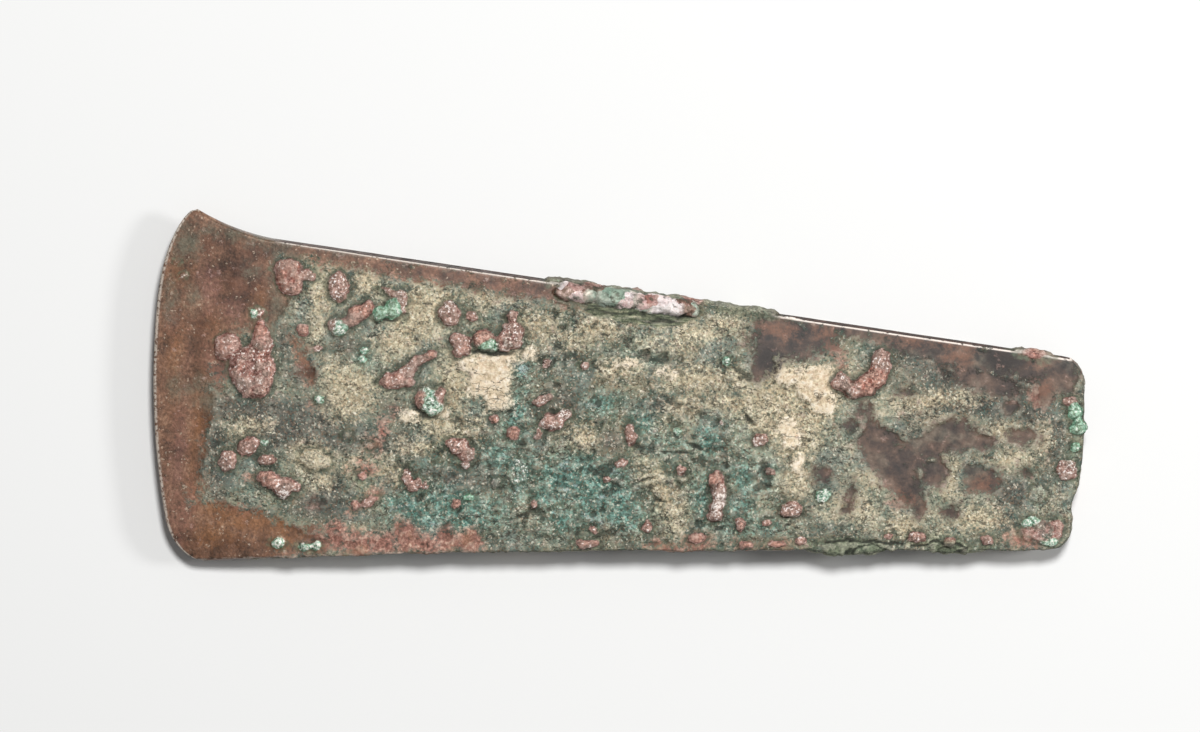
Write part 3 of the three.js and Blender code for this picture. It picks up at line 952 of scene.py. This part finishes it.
strip = inside(*LAMINAE) + 0.3 * ragged
strip_cover = smooth_step(strip / 0.9 + 0.4) * face
leaf_edge = 0.5 + 0.5 * np.sin(2 * math.pi * (bent_y + 0.065 * skin[:, 0] + 0.35 * lumpy) / 1.3)
laminae = strip_cover * leaf_edge
crack = 0.35 * laminae
for row in CRACKS:
    depth = inside(*row) + 0.16 * ragged
    crack = np.maximum(crack, smooth_step((depth + 0.1) / 0.35) * face)
for row in ZIGZAGS:
    crack = np.maximum(crack, smooth_step(beside_line(*row) / 0.3 + 0.4) * face)

# Relief of the crust in millimetres: lumps, grit and pits, higher where sand or lime lies on it, and
# nearly even where it has come off the bare metal or the dark oxide
bare_area = cover_of(bare)
dark_area = cover_of(dark)
chalk_area = cover_of(chalk, 0.35)
deep_area = cover_of(deep, 3.0)
rust_area = cover_of(rust, 1.0)
calm = np.maximum(bare_area, dark_area)
layers = 1 - 2 * abs(fractal(skin * np.array([0.45, 1, 1]) + 70, 2.6, 3))
pits = smooth_step((fractal(skin + 230, 2.4, 3) - 0.28) / 0.25)
crust = 0.2 + 0.16 * lumpy + 0.15 * gritty + deep_area * 0.24 * layers
crust -= 0.34 * pits * (0.3 + 0.7 * deep_area)
crust += 0.3 * chalk_area + 0.1 * cover_of(sand) + rust_area * (0.1 + 0.16 * wart_grit)
crust += 0.35 * cover_of(leaf, 0.3)
crust -= 0.22 * beside_wart + 0.25 * laminae
crust = (1 - calm) * crust + calm * (0.03 * lumpy + 0.012 * gritty)
height = crust + wart_top * (1 + 0.16 * gritty) - 0.4 * crack * (1 - face_cover[:, 0])
height += (wart_top > RAISED) * crags * 0.4 * np.clip(wart_top / 0.5, 0, 1)
height *= np.clip(0.25 + along * LENGTH / 8, 0, 1)
side_push += (side_push > RAISED) * crags * 0.5 * np.clip(side_push / 0.5, 0, 1)

# The skin is pushed out along its own normals, and cut flat where the axe rests
axe_mesh.vertices.foreach_set("co", (skin * MM).ravel())
axe_mesh.update()
normals = read(axe_mesh.vertices, "normal", 3)
height *= 1 - below * 0.75
raised_height = height + side_push
surface = skin + normals * raised_height[:, None]
HIGHEST = cad_box[1][2] / MM + 0.15
SQUEEZE = 0.4  # over which warts near that height are worn lower
over = np.maximum(surface[:, 2] - (HIGHEST - SQUEEZE), 0)
surface[:, 2] = np.clip(surface[:, 2] - over + SQUEEZE * np.tanh(over / SQUEEZE), 0, None)
axe_mesh.vertices.foreach_set("co", (surface * MM).ravel())
axe_mesh.update()

# How far each point lies below the ground around it, from 0 on ridges to 1 in hollows
ROUNDS = 24
HOLLOW_GAIN = 2.2
hollow = np.clip(0.5 + HOLLOW_GAIN * (averaged(raised_height, ROUNDS) - raised_height), 0, 1)


# The material reads these at each vertex, four numbers to an attribute
def attribute(name, *values):
    """Four numbers for each vertex, kept in the mesh as one colour and its alpha"""
    layer = axe_mesh.color_attributes.new(name, "FLOAT_COLOR", "POINT")
    layer.data.foreach_set("color", np.stack(values, axis=1).astype(np.float32).ravel())


SPAN = 3.0  # millimetres on either side of a patch's edge that its attribute covers


def share_of(depth):
    """A depth as a share from 0 to 1, with 0.5 at the patch's edge"""
    return np.clip(0.5 + depth / (2 * SPAN), 0, 1)


from_arris = np.where(on_side, -(1 - level) * half_deep, rim)
attribute("surfaces", share_of(bare), share_of(dark), share_of(grey), share_of(leaf))
attribute("deposits", share_of(sand), share_of(chalk), share_of(teal), share_of(rust))
attribute("tones", share_of(deep), share_of(pale), beside_wart, share_of(umber))
attribute("metals", share_of(orange), share_of(purple), share_of(olive), share_of(behind))
attribute("warts", *spots.T)
cracked = np.maximum(crack, pits * deep_area * (1 - calm) * 0.7)
attribute("depths", hollow, cracked, share_of(from_arris), strip_cover)


class Wire:
    """One output of a shader node. Arithmetic on it adds Math nodes."""

    def __init__(self, tree, socket=None):
        self.tree = tree
        self.socket = socket

    def node(self, kind, settings, sockets, output=0):
        """Adds a node, sets it up, feeds its sockets and gives one of its outputs"""
        made = self.tree.nodes.new(kind)
        for name, value in settings.items():
            if name == "stops":
                elements = made.color_ramp.elements
                while len(elements) < len(value):
                    elements.new(0.5)
                for element, (place, colour) in zip(elements, value):
                    element.position = place
                    element.color = colour
            else:
                setattr(made, name, value)
        for name, value in sockets.items():
            if isinstance(value, Wire):
                self.tree.links.new(value.socket, made.inputs[name])
            else:
                made.inputs[name].default_value = value
        return None if output is None else Wire(self.tree, made.outputs[output])

    def maths(self, operation, first, second, clamp=False):
        settings = {"operation": operation, "use_clamp": clamp}
        return self.node("ShaderNodeMath", settings, {0: first, 1: second})

    def __add__(self, other):
        return self.maths("ADD", self, other)

    def __sub__(self, other):
        return self.maths("SUBTRACT", self, other)

    def __rsub__(self, other):
        return self.maths("SUBTRACT", other, self)

    def __mul__(self, other):
        return self.maths("MULTIPLY", self, other)

    __radd__ = __add__
    __rmul__ = __mul__

    def clamped(self):
        return self.maths("ADD", self, 0.0, clamp=True)


def paint(red, green, blue):
    """A colour from the 0 to 255 numbers that a colour picker shows"""
    linear = [((c / 255 + 0.055) / 1.055) ** 2.4 if c > 10 else c / 3295 for c in (red, green, blue)]
    return (*linear, 1.0)


# Corroded bronze. The colour is built up from the crust outwards, and the mesh's attributes say
# where each layer lies. Noise frays the layers' edges and breaks up their colours.
metal = bpy.data.materials.new("corroded_bronze")
metal.use_nodes = True
tree = metal.node_tree
tree.nodes.clear()
shade = Wire(tree)
point = shade.node("ShaderNodeTexCoord", {}, {}, "Object")
point = shade.node("ShaderNodeVectorMath", {"operation": "SCALE"}, {0: point, "Scale": 1 / MM})


def noisy(size, detail=3.0, roughness=0.55, stretch=(1, 1, 1), shift=0.0):
    """Noise from 0 to 1 with lumps of that size in millimetres"""
    where = point
    if stretch != (1, 1, 1) or shift:
        settings = {"vector_type": "POINT"}
        where = shade.node(
            "ShaderNodeMapping", settings, {"Vector": point, "Scale": stretch, "Location": (shift,) * 3}
        )
    sockets = {"Vector": where, "Scale": 1 / size, "Detail": detail, "Roughness": roughness}
    return shade.node("ShaderNodeTexNoise", {}, sockets, 0)


def stepped(value, low, high):
    """0 up to low, 1 from high on, and an even change between. Low may be the greater."""
    return ((value - low) * (1 / (high - low))).clamped()


def mixed(factor, first, second, kind="MIX"):
    """The first colour at factor 0 and the second at 1, or a blend of another kind"""
    sockets = {0: factor, 6: first, 7: second}
    return shade.node("ShaderNodeMix", {"data_type": "RGBA", "blend_type": kind}, sockets, 2)


def layer_of(name):
    """The four numbers of one of the mesh's attributes"""
    settings = {"attribute_name": name}
    colour = shade.node("ShaderNodeAttribute", settings, {}, "Color")
    parts = [shade.node("ShaderNodeSeparateColor", {}, {0: colour}, i) for i in range(3)]
    return *parts, shade.node("ShaderNodeAttribute", settings, {}, "Alpha")


bare_in, dark_in, grey_in, leaf_in = layer_of("surfaces")
sand_in, chalk_in, teal_in, rust_in = layer_of("deposits")
deep_in, pale_in, beside_in, umber_in = layer_of("tones")
orange_in, purple_in, olive_in, behind_in = layer_of("metals")
red_in, green_in, white_in, facet_in = layer_of("warts")
hollow_in, crack_in, arris_in, laminae_in = layer_of("depths")
point_x = shade.node("ShaderNodeSeparateXYZ", {}, {0: point}, 0)
point_y = shade.node("ShaderNodeSeparateXYZ", {}, {0: point}, 1)

# Noise from single crumbs to broad clouds
crumb = noisy(0.5, 3.0, 0.6, shift=7.0)
fleck = noisy(1.5, 4.0, 0.6, shift=23.0)
cloud = noisy(4.5, 5.0, 0.6, shift=41.0)
dust = noisy(6.5, 5.0, 0.62, shift=57.0)
chill = noisy(5.5, 5.0, 0.6, shift=73.0)
broad = noisy(14.0, 3.0, 0.55, shift=67.0)
harsh = stepped(noisy(5.0, 3.0, 0.5, shift=97.0), 0.4, 0.62)

# Cells whose walls are bent by noise, for grains and facets
wobble = shade.node("ShaderNodeTexNoise", {}, {"Vector": point, "Scale": 2.2, "Detail": 2.0}, 1)
bent = shade.node("ShaderNodeVectorMath", {"operation": "SCALE"}, {0: wobble, "Scale": 0.5})
bent = shade.node("ShaderNodeVectorMath", {"operation": "ADD"}, {0: point, 1: bent})


def shards(size):
    """Three random numbers for each of the small cells of that size in millimetres"""
    cells = shade.node("ShaderNodeTexVoronoi", {}, {"Vector": bent, "Scale": 1 / size}, 1)
    return [shade.node("ShaderNodeSeparateColor", {}, {0: cells}, i) for i in range(3)]


grain, grain_kind, grain_hue = shards(0.26)
frayed = (crumb - 0.5) * 0.45 + (fleck - 0.5) * 0.5 + (cloud - 0.5) * 0.35 + (grain - 0.5) * 0.1


def cut(field, spread=1.0, crisp=9.0):
    """A patch with a frayed edge, from the depth inside it"""
    return ((field - 0.5 + frayed * spread) * crisp + 0.5).clamped()


def ramp(value, *stops):
    """Colours along a value. Each stop is a value and the three numbers of its colour."""
    stops = [(at, paint(*colour)) for at, *colour in stops]
    return shade.node("ShaderNodeValToRGB", {"stops": stops}, {0: value})


# Dull olive-grey crust, darker in the rough middle and paler by the ends
mottle = cloud * 0.62 + fleck * 0.2 + crumb * 0.18
speckle = fleck * 0.6 + crumb * 0.4
fine_speckle = fleck * 0.5 + crumb * 0.5
colour = ramp(
    mottle,
    (0.38, 62, 66, 56),
    (0.46, 102, 105, 91),
    (0.54, 138, 135, 115),
    (0.63, 182, 172, 146),
)
deep_ramp = ramp(
    mottle,
    (0.38, 46, 52, 43),
    (0.46, 82, 88, 74),
    (0.54, 116, 118, 100),
    (0.64, 158, 154, 130),
)
colour = mixed(cut(deep_in, 1.2, 1.8) * 0.85, colour, deep_ramp)
pale_ramp = ramp(
    mottle,
    (0.38, 92, 99, 86),
    (0.46, 136, 139, 120),
    (0.54, 160, 157, 135),
    (0.63, 198, 188, 162),
)
colour = mixed(cut(pale_in, 1.2, 1.8) * 0.8, colour, pale_ramp)
chilled = stepped(chill, 0.5, 0.62)
colour = mixed(chilled * 0.65, colour, ramp(fleck, (0.36, 84, 98, 92), (0.62, 136, 146, 138)))
greenish = stepped(broad + (cloud - 0.5) * 0.6, 0.5, 0.66)
colour = mixed(greenish * 0.45, colour, ramp(fleck, (0.36, 62, 80, 64), (0.62, 128, 142, 118)))
dusty = stepped(dust + (fleck - 0.5) * 0.3, 0.53, 0.66)
colour = mixed(dusty * 0.5, colour, ramp(mottle, (0.4, 138, 124, 98), (0.6, 190, 174, 144)))

# Teal stain, greenish blue where it is thick
teal_colour = ramp(
    speckle,
    (0.36, 40, 65, 57),
    (0.5, 74, 114, 103),
    (0.62, 128, 172, 160),
)
colour = mixed(cut(teal_in, 1.4, 2.0) * 0.85, colour, teal_colour)
frost = stepped(noisy(2.6, 4.0, 0.6, shift=171.0), 0.6, 0.7) * cut(teal_in, 1.0, 2.0)
colour = mixed(frost * 0.7, colour, paint(176, 192, 192))

# Grey film, thin and frayed
grey_colour = ramp(mottle, (0.38, 52, 52, 48), (0.5, 84, 82, 75), (0.64, 124, 120, 109))
colour = mixed(cut(grey_in + 0.08, 1.2, 2.2) * 0.9, colour, grey_colour)

# Sand cemented on the crust, and chalky lime
sand_colour = ramp(
    cloud * 0.3 + fleck * 0.35 + crumb * 0.35,
    (0.38, 136, 124, 99),
    (0.48, 178, 164, 135),
    (0.6, 210, 197, 168),
)
colour = mixed(cut(sand_in, 1.2, 2.6) * 0.9, colour, sand_colour)
chalk_colour = ramp(
    speckle,
    (0.36, 184, 164, 134),
    (0.46, 210, 190, 160),
    (0.62, 230, 216, 194),
)
# A dark band at the foot of the lime, as dirt and as painted shade
chalk_foot_dirt_and_shade = cut(chalk_in + 0.04, 0.8, 6.0)
chalk_cover = cut(chalk_in, 0.8, 6.5)
colour = mixed((chalk_foot_dirt_and_shade - chalk_cover).clamped() * 0.5, colour, paint(70, 66, 52))
colour = mixed(chalk_cover * 0.94, colour, chalk_colour)

# Single grains of other colours, the pale ones partly painted glints, and pits and fine crevices
# darkened as painted shade
bare_cover = cut(bare_in, 1.4, 4.5)
dark_cover = cut(dark_in, 1.1, 7.0)
rust_cover = cut(rust_in, 1.0, 5.0)
crusty = 1 - (bare_cover + dark_cover + rust_cover * 0.7).clamped()
loose = crusty * (1 - chalk_cover * 0.7)
colour = mixed(stepped(grain_kind, 0.9, 0.92) * loose * 0.55, colour, paint(44, 46, 38))
# Pale grains, partly painted glints
colour = mixed(stepped(grain_kind, 0.09, 0.08) * loose * 0.45, colour, paint(222, 214, 194))
colour = mixed(stepped(grain_hue, 0.8, 0.84) * loose * 0.25, colour, paint(150, 112, 80))
colour = mixed(stepped(grain_hue, 0.2, 0.16) * loose * 0.25, colour, paint(90, 130, 118))
# Pits painted dark as shade
pitted = stepped(noisy(0.95, 3.0, 0.6, stretch=(0.6, 1.0, 1.0), shift=111.0), 0.6, 0.67)
colour = mixed(pitted * loose * 0.75, colour, paint(40, 40, 32))
# Fine crevices painted dark as shade
vein = noisy(3.4, 4.0, 0.62, stretch=(0.6, 1.0, 1.0), shift=211.0) - 0.5
broken_up = stepped(cloud + (fleck - 0.5) * 0.4, 0.46, 0.54)
crevice = stepped(vein * vein, 0.0001, 0.00002) * broken_up * crusty
colour = mixed(crevice * 0.65, colour, paint(38, 40, 32))

# Red oxide, pink on the warts and browner in the band by the lower arris
oxide = ramp(
    fine_speckle,
    (0.38, 92, 58, 49),
    (0.46, 136, 92, 82),
    (0.53, 166, 124, 114),
    (0.62, 202, 172, 163),
)
rust_colour = ramp(
    fine_speckle,
    (0.38, 82, 54, 44),
    (0.47, 130, 84, 72),
    (0.55, 160, 112, 98),
    (0.64, 202, 170, 150),
)
rust_colour = mixed(stepped(cloud, 0.54, 0.62) * 0.35, rust_colour, paint(150, 104, 72))
colour = mixed(rust_cover * 0.88, colour, rust_colour)

# Smooth dark oxide that the crust has come off, with a grey film at its edges
dark_colour = ramp(
    cloud * 0.6 + fleck * 0.4,
    (0.38, 40, 33, 30),
    (0.48, 66, 52, 45),
    (0.56, 92, 72, 60),
    (0.66, 120, 100, 86),
)
dark_colour = mixed(cut(rust_in, 1.3, 3.0) * 0.55, dark_colour, paint(126, 84, 62))
dark_colour = mixed(cut(umber_in + 0.1, 0.8, 4.0) * 0.9, dark_colour, paint(30, 24, 20))
dusting = ramp(fleck, (0.38, 60, 60, 52), (0.62, 122, 120, 104))
near_butt = stepped(point_x, 38.0, 46.0)
dark_colour = mixed(stepped(chill, 0.5, 0.6) * near_butt * 0.35, dark_colour, dusting)
colour = mixed(cut(dark_in + 0.06, 1.6, 3.0) * 0.55, colour, grey_colour)
colour = mixed(dark_cover, colour, dark_colour)

# Bare copper-brown metal of the ground blade
streaks = noisy(3.4, 5.0, 0.62, stretch=(1.0, 0.35, 1.0), shift=90.0)
blotches = noisy(3.0, 5.0, 0.65, shift=131.0)
scuffs = noisy(0.45, 3.0, 0.6, stretch=(1.0, 0.75, 1.0), shift=151.0)
bare_colour = ramp(
    streaks * 0.25 + blotches * 0.5 + scuffs * 0.25,
    (0.38, 76, 57, 45),
    (0.46, 106, 78, 62),
    (0.53, 126, 93, 74),
    (0.62, 156, 123, 100),
)
orange_colour = ramp(streaks, (0.38, 104, 70, 44), (0.62, 148, 100, 60))
umber_colour = ramp(blotches, (0.38, 56, 38, 30), (0.6, 104, 70, 54))
bare_colour = mixed(cut(umber_in, 1.2, 2.4) * 0.9, bare_colour, umber_colour)
bare_colour = mixed(cut(orange_in, 1.6, 1.8) * 0.6, bare_colour, orange_colour)
bare_colour = mixed(cut(purple_in, 1.4, 2.2) * 0.45, bare_colour, paint(140, 99, 91))
bare_colour = mixed(cut(olive_in, 1.4, 2.4) * 0.75, bare_colour, paint(106, 104, 88))
dark_specks = stepped(grain_kind + (cloud - 0.5) * 0.8, 0.92, 0.96)
bare_colour = mixed(dark_specks * 0.4, bare_colour, paint(66, 54, 44))
pale_specks = stepped(grain_kind + (fleck - 0.5) * 0.8, 0.0, -0.05)
bare_colour = mixed(pale_specks * 0.5, bare_colour, paint(204, 184, 162))
bare_colour = mixed(1.0, bare_colour, (scuffs - 0.5) * 0.55 + 0.5, "OVERLAY")
colour = mixed(bare_cover, colour, bare_colour)

# The cutting edge has a whitish dotted rim, partly wear and partly painted highlight
edge_rim_and_highlight = stepped(0.1 - (behind_in - 0.5), 0.0, 0.05) * stepped(scuffs + grain * 0.2, 0.46, 0.6)
colour = mixed(edge_rim_and_highlight * 0.85, colour, paint(196, 186, 174))

# The upper narrow side is painted nearly black as shade, and the arris in front of it gets a
# painted highlight. Stretches along the axe are in millimetres from its middle.
plain_part = (stepped(point_x, -57.0, -55.0) - stepped(point_x, -8.0, -5.0)) + stepped(point_x, 23.0, 26.0)
upper_part = stepped(point_y, 0.0, 1.0) * plain_part.clamped()
# Painted shade: the upper narrow side is darkened to near black
side_shade = stepped(0.5 - arris_in, 0.0, 0.02) * upper_part
colour = mixed(side_shade * 0.85, colour, ramp(fleck, (0.4, 34, 24, 20), (0.6, 78, 50, 40)))
# A painted highlight: a bright line along the upper arris, broken up by noise
arris_highlight = stepped(arris_in - 0.5, -0.05, -0.02) * stepped(0.5 - arris_in, -0.085, -0.055)
highlight_breaks = stepped(fleck + (crumb - 0.5) * 0.4, 0.36, 0.44)
colour = mixed(arris_highlight * highlight_breaks * upper_part * 0.95, colour, paint(244, 232, 222))
# A fainter painted highlight along the lower arris
lower_part = stepped(0.0 - point_y, 0.0, 1.0) * (1 - stepped(point_x, -24.0, -20.0))
lower_part = lower_part * stepped(point_x, -66.0, -64.0)
colour = mixed(arris_highlight * stepped(fleck, 0.46, 0.56) * lower_part * 0.6, colour, paint(214, 196, 180))

# Warts of red oxide with green and white crystals, the white specks partly painted glints, each in
# a moat of dark green dirt and painted shade
moss = ramp(fine_speckle, (0.38, 44, 54, 40), (0.62, 104, 116, 92))
# The moat darkens a ring round each wart, as dirt and as painted shade
colour = mixed(stepped(beside_in + (fleck - 0.5) * 3.0, 0.5, 1.0) * 0.55, colour, moss)
wart_cover = stepped(red_in + (fleck - 0.5), 0.12, 0.4)
brick = stepped(red_in + (fleck - 0.5) * 2.0, 0.75, 1.0)
brick_colour = ramp(crumb, (0.38, 112, 58, 46), (0.5, 162, 92, 74), (0.62, 198, 140, 122))
wart_colour = mixed(brick * 0.8, oxide, brick_colour)
greyed = stepped(chill + (crumb - 0.5) * 0.4, 0.52, 0.6)
wart_colour = mixed(greyed * 0.5, wart_colour, paint(150, 128, 118))
colour = mixed(wart_cover * 0.95, colour, wart_colour)
green_colour = ramp(
    fleck * 0.4 + crumb * 0.6,
    (0.38, 40, 76, 52),
    (0.5, 84, 138, 104),
    (0.6, 140, 192, 160),
)
# White sparkle on the green crystals, partly painted glints
green_colour = mixed(white_in * stepped(crumb, 0.4, 0.55), green_colour, paint(176, 212, 196))
colour = mixed(stepped(green_in + (fleck - 0.5) * 0.8, 0.2, 0.45) * 0.9, colour, green_colour)
# White crystal specks on the warts, partly painted glints
crystal_and_glint = stepped(white_in * 0.45 + (grain - 0.5) * 0.4 + (crumb - 0.5) * 1.2, 0.34, 0.46)
colour = mixed(crystal_and_glint * stepped(white_in, 0.02, 0.1) * 0.75, colour, paint(236, 222, 212))

# Big broken facets of crystal stand along the upper arris
facet, facet_kind, facet_hue = shards(2.1)
facet_colour = ramp(
    facet,
    (0.0, 150, 96, 84),
    (0.2, 240, 230, 228),
    (0.36, 204, 160, 154),
    (0.52, 150, 168, 152),
    (0.66, 186, 186, 172),
    (0.8, 112, 84, 70),
)
facet_colour = mixed(stepped(crumb + (fleck - 0.5) * 0.6, 0.52, 0.64) * 0.6, facet_colour, oxide)
red_stretch = 1 - stepped(point_x, -7.0, -5.0)
facet_colour = mixed(red_stretch * stepped(facet_hue, 0.25, 0.35) * 0.75, facet_colour, oxide)
white_stretch = stepped(point_x, 3.6, 4.6) - stepped(point_x, 8.6, 9.6)
whitish_facet = white_stretch * stepped(facet_hue, 0.35, 0.45)
facet_colour = mixed(whitish_facet * 0.8, facet_colour, paint(236, 224, 222))
green_stretch = stepped(point_x, -7.0, -4.0) - stepped(point_x, 1.0, 3.0)
greenish_facet = green_stretch * stepped(facet_kind, 0.3, 0.4)
facet_colour = mixed(greenish_facet * 0.8, facet_colour, paint(132, 158, 140))
facet_colour = mixed(stepped(fleck, 0.46, 0.38) * 0.8, facet_colour, paint(62, 66, 52))
colour = mixed(stepped(facet_in + (fleck - 0.5) * 0.6, 0.25, 0.5), colour, facet_colour)

# Leaves of green scale along the lower arris, and its thin layers below the upper one
leaf_colour = ramp(fine_speckle, (0.38, 58, 70, 53), (0.6, 126, 134, 109))
colour = mixed(cut(leaf_in, 0.4, 8.0) * 0.8, colour, leaf_colour)
thin_layers = noisy(0.55, 4.0, 0.6, stretch=(0.1, 1.0, 1.0), shift=191.0)
layer_colour = ramp(
    thin_layers,
    (0.4, 34, 40, 30),
    (0.48, 74, 84, 62),
    (0.56, 118, 124, 98),
    (0.66, 160, 156, 128),
)
layered = stepped(laminae_in + (fleck - 0.5) * 0.8, 0.4, 0.7) * (1 - facet_in)
colour = mixed(layered * 0.85, colour, layer_colour)

# Hollows and cracks are darkened as painted shade and dirt, and ridges are made paler as painted light
hollow_shade_and_dirt = stepped(hollow_in + (crumb - 0.5) * 0.3, 0.6, 1.0)
colour = mixed(hollow_shade_and_dirt * (1 - bare_cover * 0.6) * 0.55, colour, paint(56, 58, 46))
# Cracks painted near-black as shade
colour = mixed(stepped(crack_in + (crumb - 0.5) * 0.4, 0.35, 0.9) * 0.85, colour, paint(32, 34, 26))
# Ridges lightened as painted light
ridge_light = stepped(0.5 - hollow_in, 0.04, 0.25)
colour = mixed(ridge_light * 0.18, colour, paint(205, 196, 176), "SCREEN")
roughened = crusty * (harsh * 0.7 + 0.3) * (1 - chalk_cover * 0.6)
contrast = (grain - 0.5) * (0.08 + roughened * 0.36) + (crumb - 0.5) * (0.2 + roughened * 0.5) + 0.49
colour = mixed(1.0, colour, contrast, "OVERLAY")

roughness = 0.85 - bare_cover * 0.38 - dark_cover * 0.25 + side_shade * 0.25
metallic = bare_cover * 0.25
BUMP_DEPTH = 0.4
relief = grain * 0.25 + crumb * 0.4 + fleck * 0.35
relief = relief * (0.12 + roughened * 0.8 + wart_cover * 0.5) - crevice * 0.3 + facet * facet_in * 1.4
fine = shade.node("ShaderNodeBump", {}, {"Strength": 1.0, "Distance": BUMP_DEPTH * MM, "Height": relief})
sockets = {"Base Color": colour, "Roughness": roughness, "Metallic": metallic, "Normal": fine}
shader = shade.node("ShaderNodeBsdfPrincipled", {}, sockets)
shade.node("ShaderNodeOutputMaterial", {}, {"Surface": shader}, None)

for polygon in axe_mesh.polygons:
    polygon.use_smooth = True
axe = bpy.data.objects.new("bronze_axe_head", axe_mesh)
bpy.context.scene.collection.objects.link(axe)
axe_mesh.materials.append(metal)
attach(axe, "root")
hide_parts("axe_head")

# The table is one flat sheet of pale paper, far wider than the picture, so that no edge of it
# shows. The axe lies loose on it.
TABLE_HALF = 3.0
PAPER = (225, 225, 224)
sheet = bmesh.new()
bmesh.ops.create_grid(sheet, x_segments=1, y_segments=1, size=TABLE_HALF)
table_mesh = bpy.data.meshes.new("table")
sheet.to_mesh(table_mesh)
sheet.free()
table = bpy.data.objects.new("table", table_mesh)
bpy.context.scene.collection.objects.link(table)
paper = bpy.data.materials.new("pale_paper")
paper.use_nodes = True
paper.node_tree.nodes["Principled BSDF"].inputs["Base Color"].default_value = paint(*PAPER)
paper.node_tree.nodes["Principled BSDF"].inputs["Roughness"].default_value = 0.9
table_mesh.materials.append(paper)

# Soft studio light comes from the picture's top, with a weaker one from its right
ROLL = math.radians(4.25)
picture_right = Vector((math.cos(ROLL), math.sin(ROLL), 0))
picture_up = Vector((-math.sin(ROLL), math.cos(ROLL), 0))


def softbox(name, right, up, high, size, power):
    """A round lamp aimed at the axe, placed in metres to the picture's right and top"""
    lamp = bpy.data.lights.new(name, "AREA")
    lamp.shape = "DISK"
    lamp.size = size
    lamp.energy = power
    box = bpy.data.objects.new(name, lamp)
    box.location = picture_right * right + picture_up * up + Vector((0, 0, high))
    box.rotation_euler = (-box.location).to_track_quat("-Z", "Y").to_euler()
    bpy.context.scene.collection.objects.link(box)


softbox("top_light", 0.1, 0.34, 0.9, 0.18, 8.8)
softbox("right_light", 0.75, 0.1, 0.5, 0.2, 3.0)
world = bpy.data.worlds.new("studio")
world.use_nodes = True
world.node_tree.nodes["Background"].inputs["Color"].default_value = (1, 1, 1, 1)
world.node_tree.nodes["Background"].inputs["Strength"].default_value = 0.18
bpy.context.scene.world = world

# The camera looks down on the upper face, leaning a little towards the picture's top, so that the
# upper narrow side shows as a thin line
PICTURE_WIDE = 192.5 * MM
TILT = math.radians(3.9)
LENS = 200.0
FILM = 36.0
distance = PICTURE_WIDE * LENS / FILM
aim = Vector((-3.3 * MM, 8.6 * MM, 6.5 * MM))
out = Vector((0, 0, math.cos(TILT))) + picture_up * math.sin(TILT)
camera_data = bpy.data.cameras.new("camera")
camera_data.lens = LENS
camera_data.sensor_width = FILM
camera_data.clip_start = 0.01
camera = bpy.data.objects.new("camera", camera_data)
up = out.cross(picture_right)
camera.matrix_world = Matrix(
    (
        (picture_right.x, up.x, out.x, 0),
        (picture_right.y, up.y, out.y, 0),
        (picture_right.z, up.z, out.z, 0),
        (0, 0, 0, 1),
    )
)
camera.location = aim + out * distance
bpy.context.scene.collection.objects.link(camera)
bpy.context.scene.camera = camera
bpy.context.scene.view_settings.view_transform = "Standard"
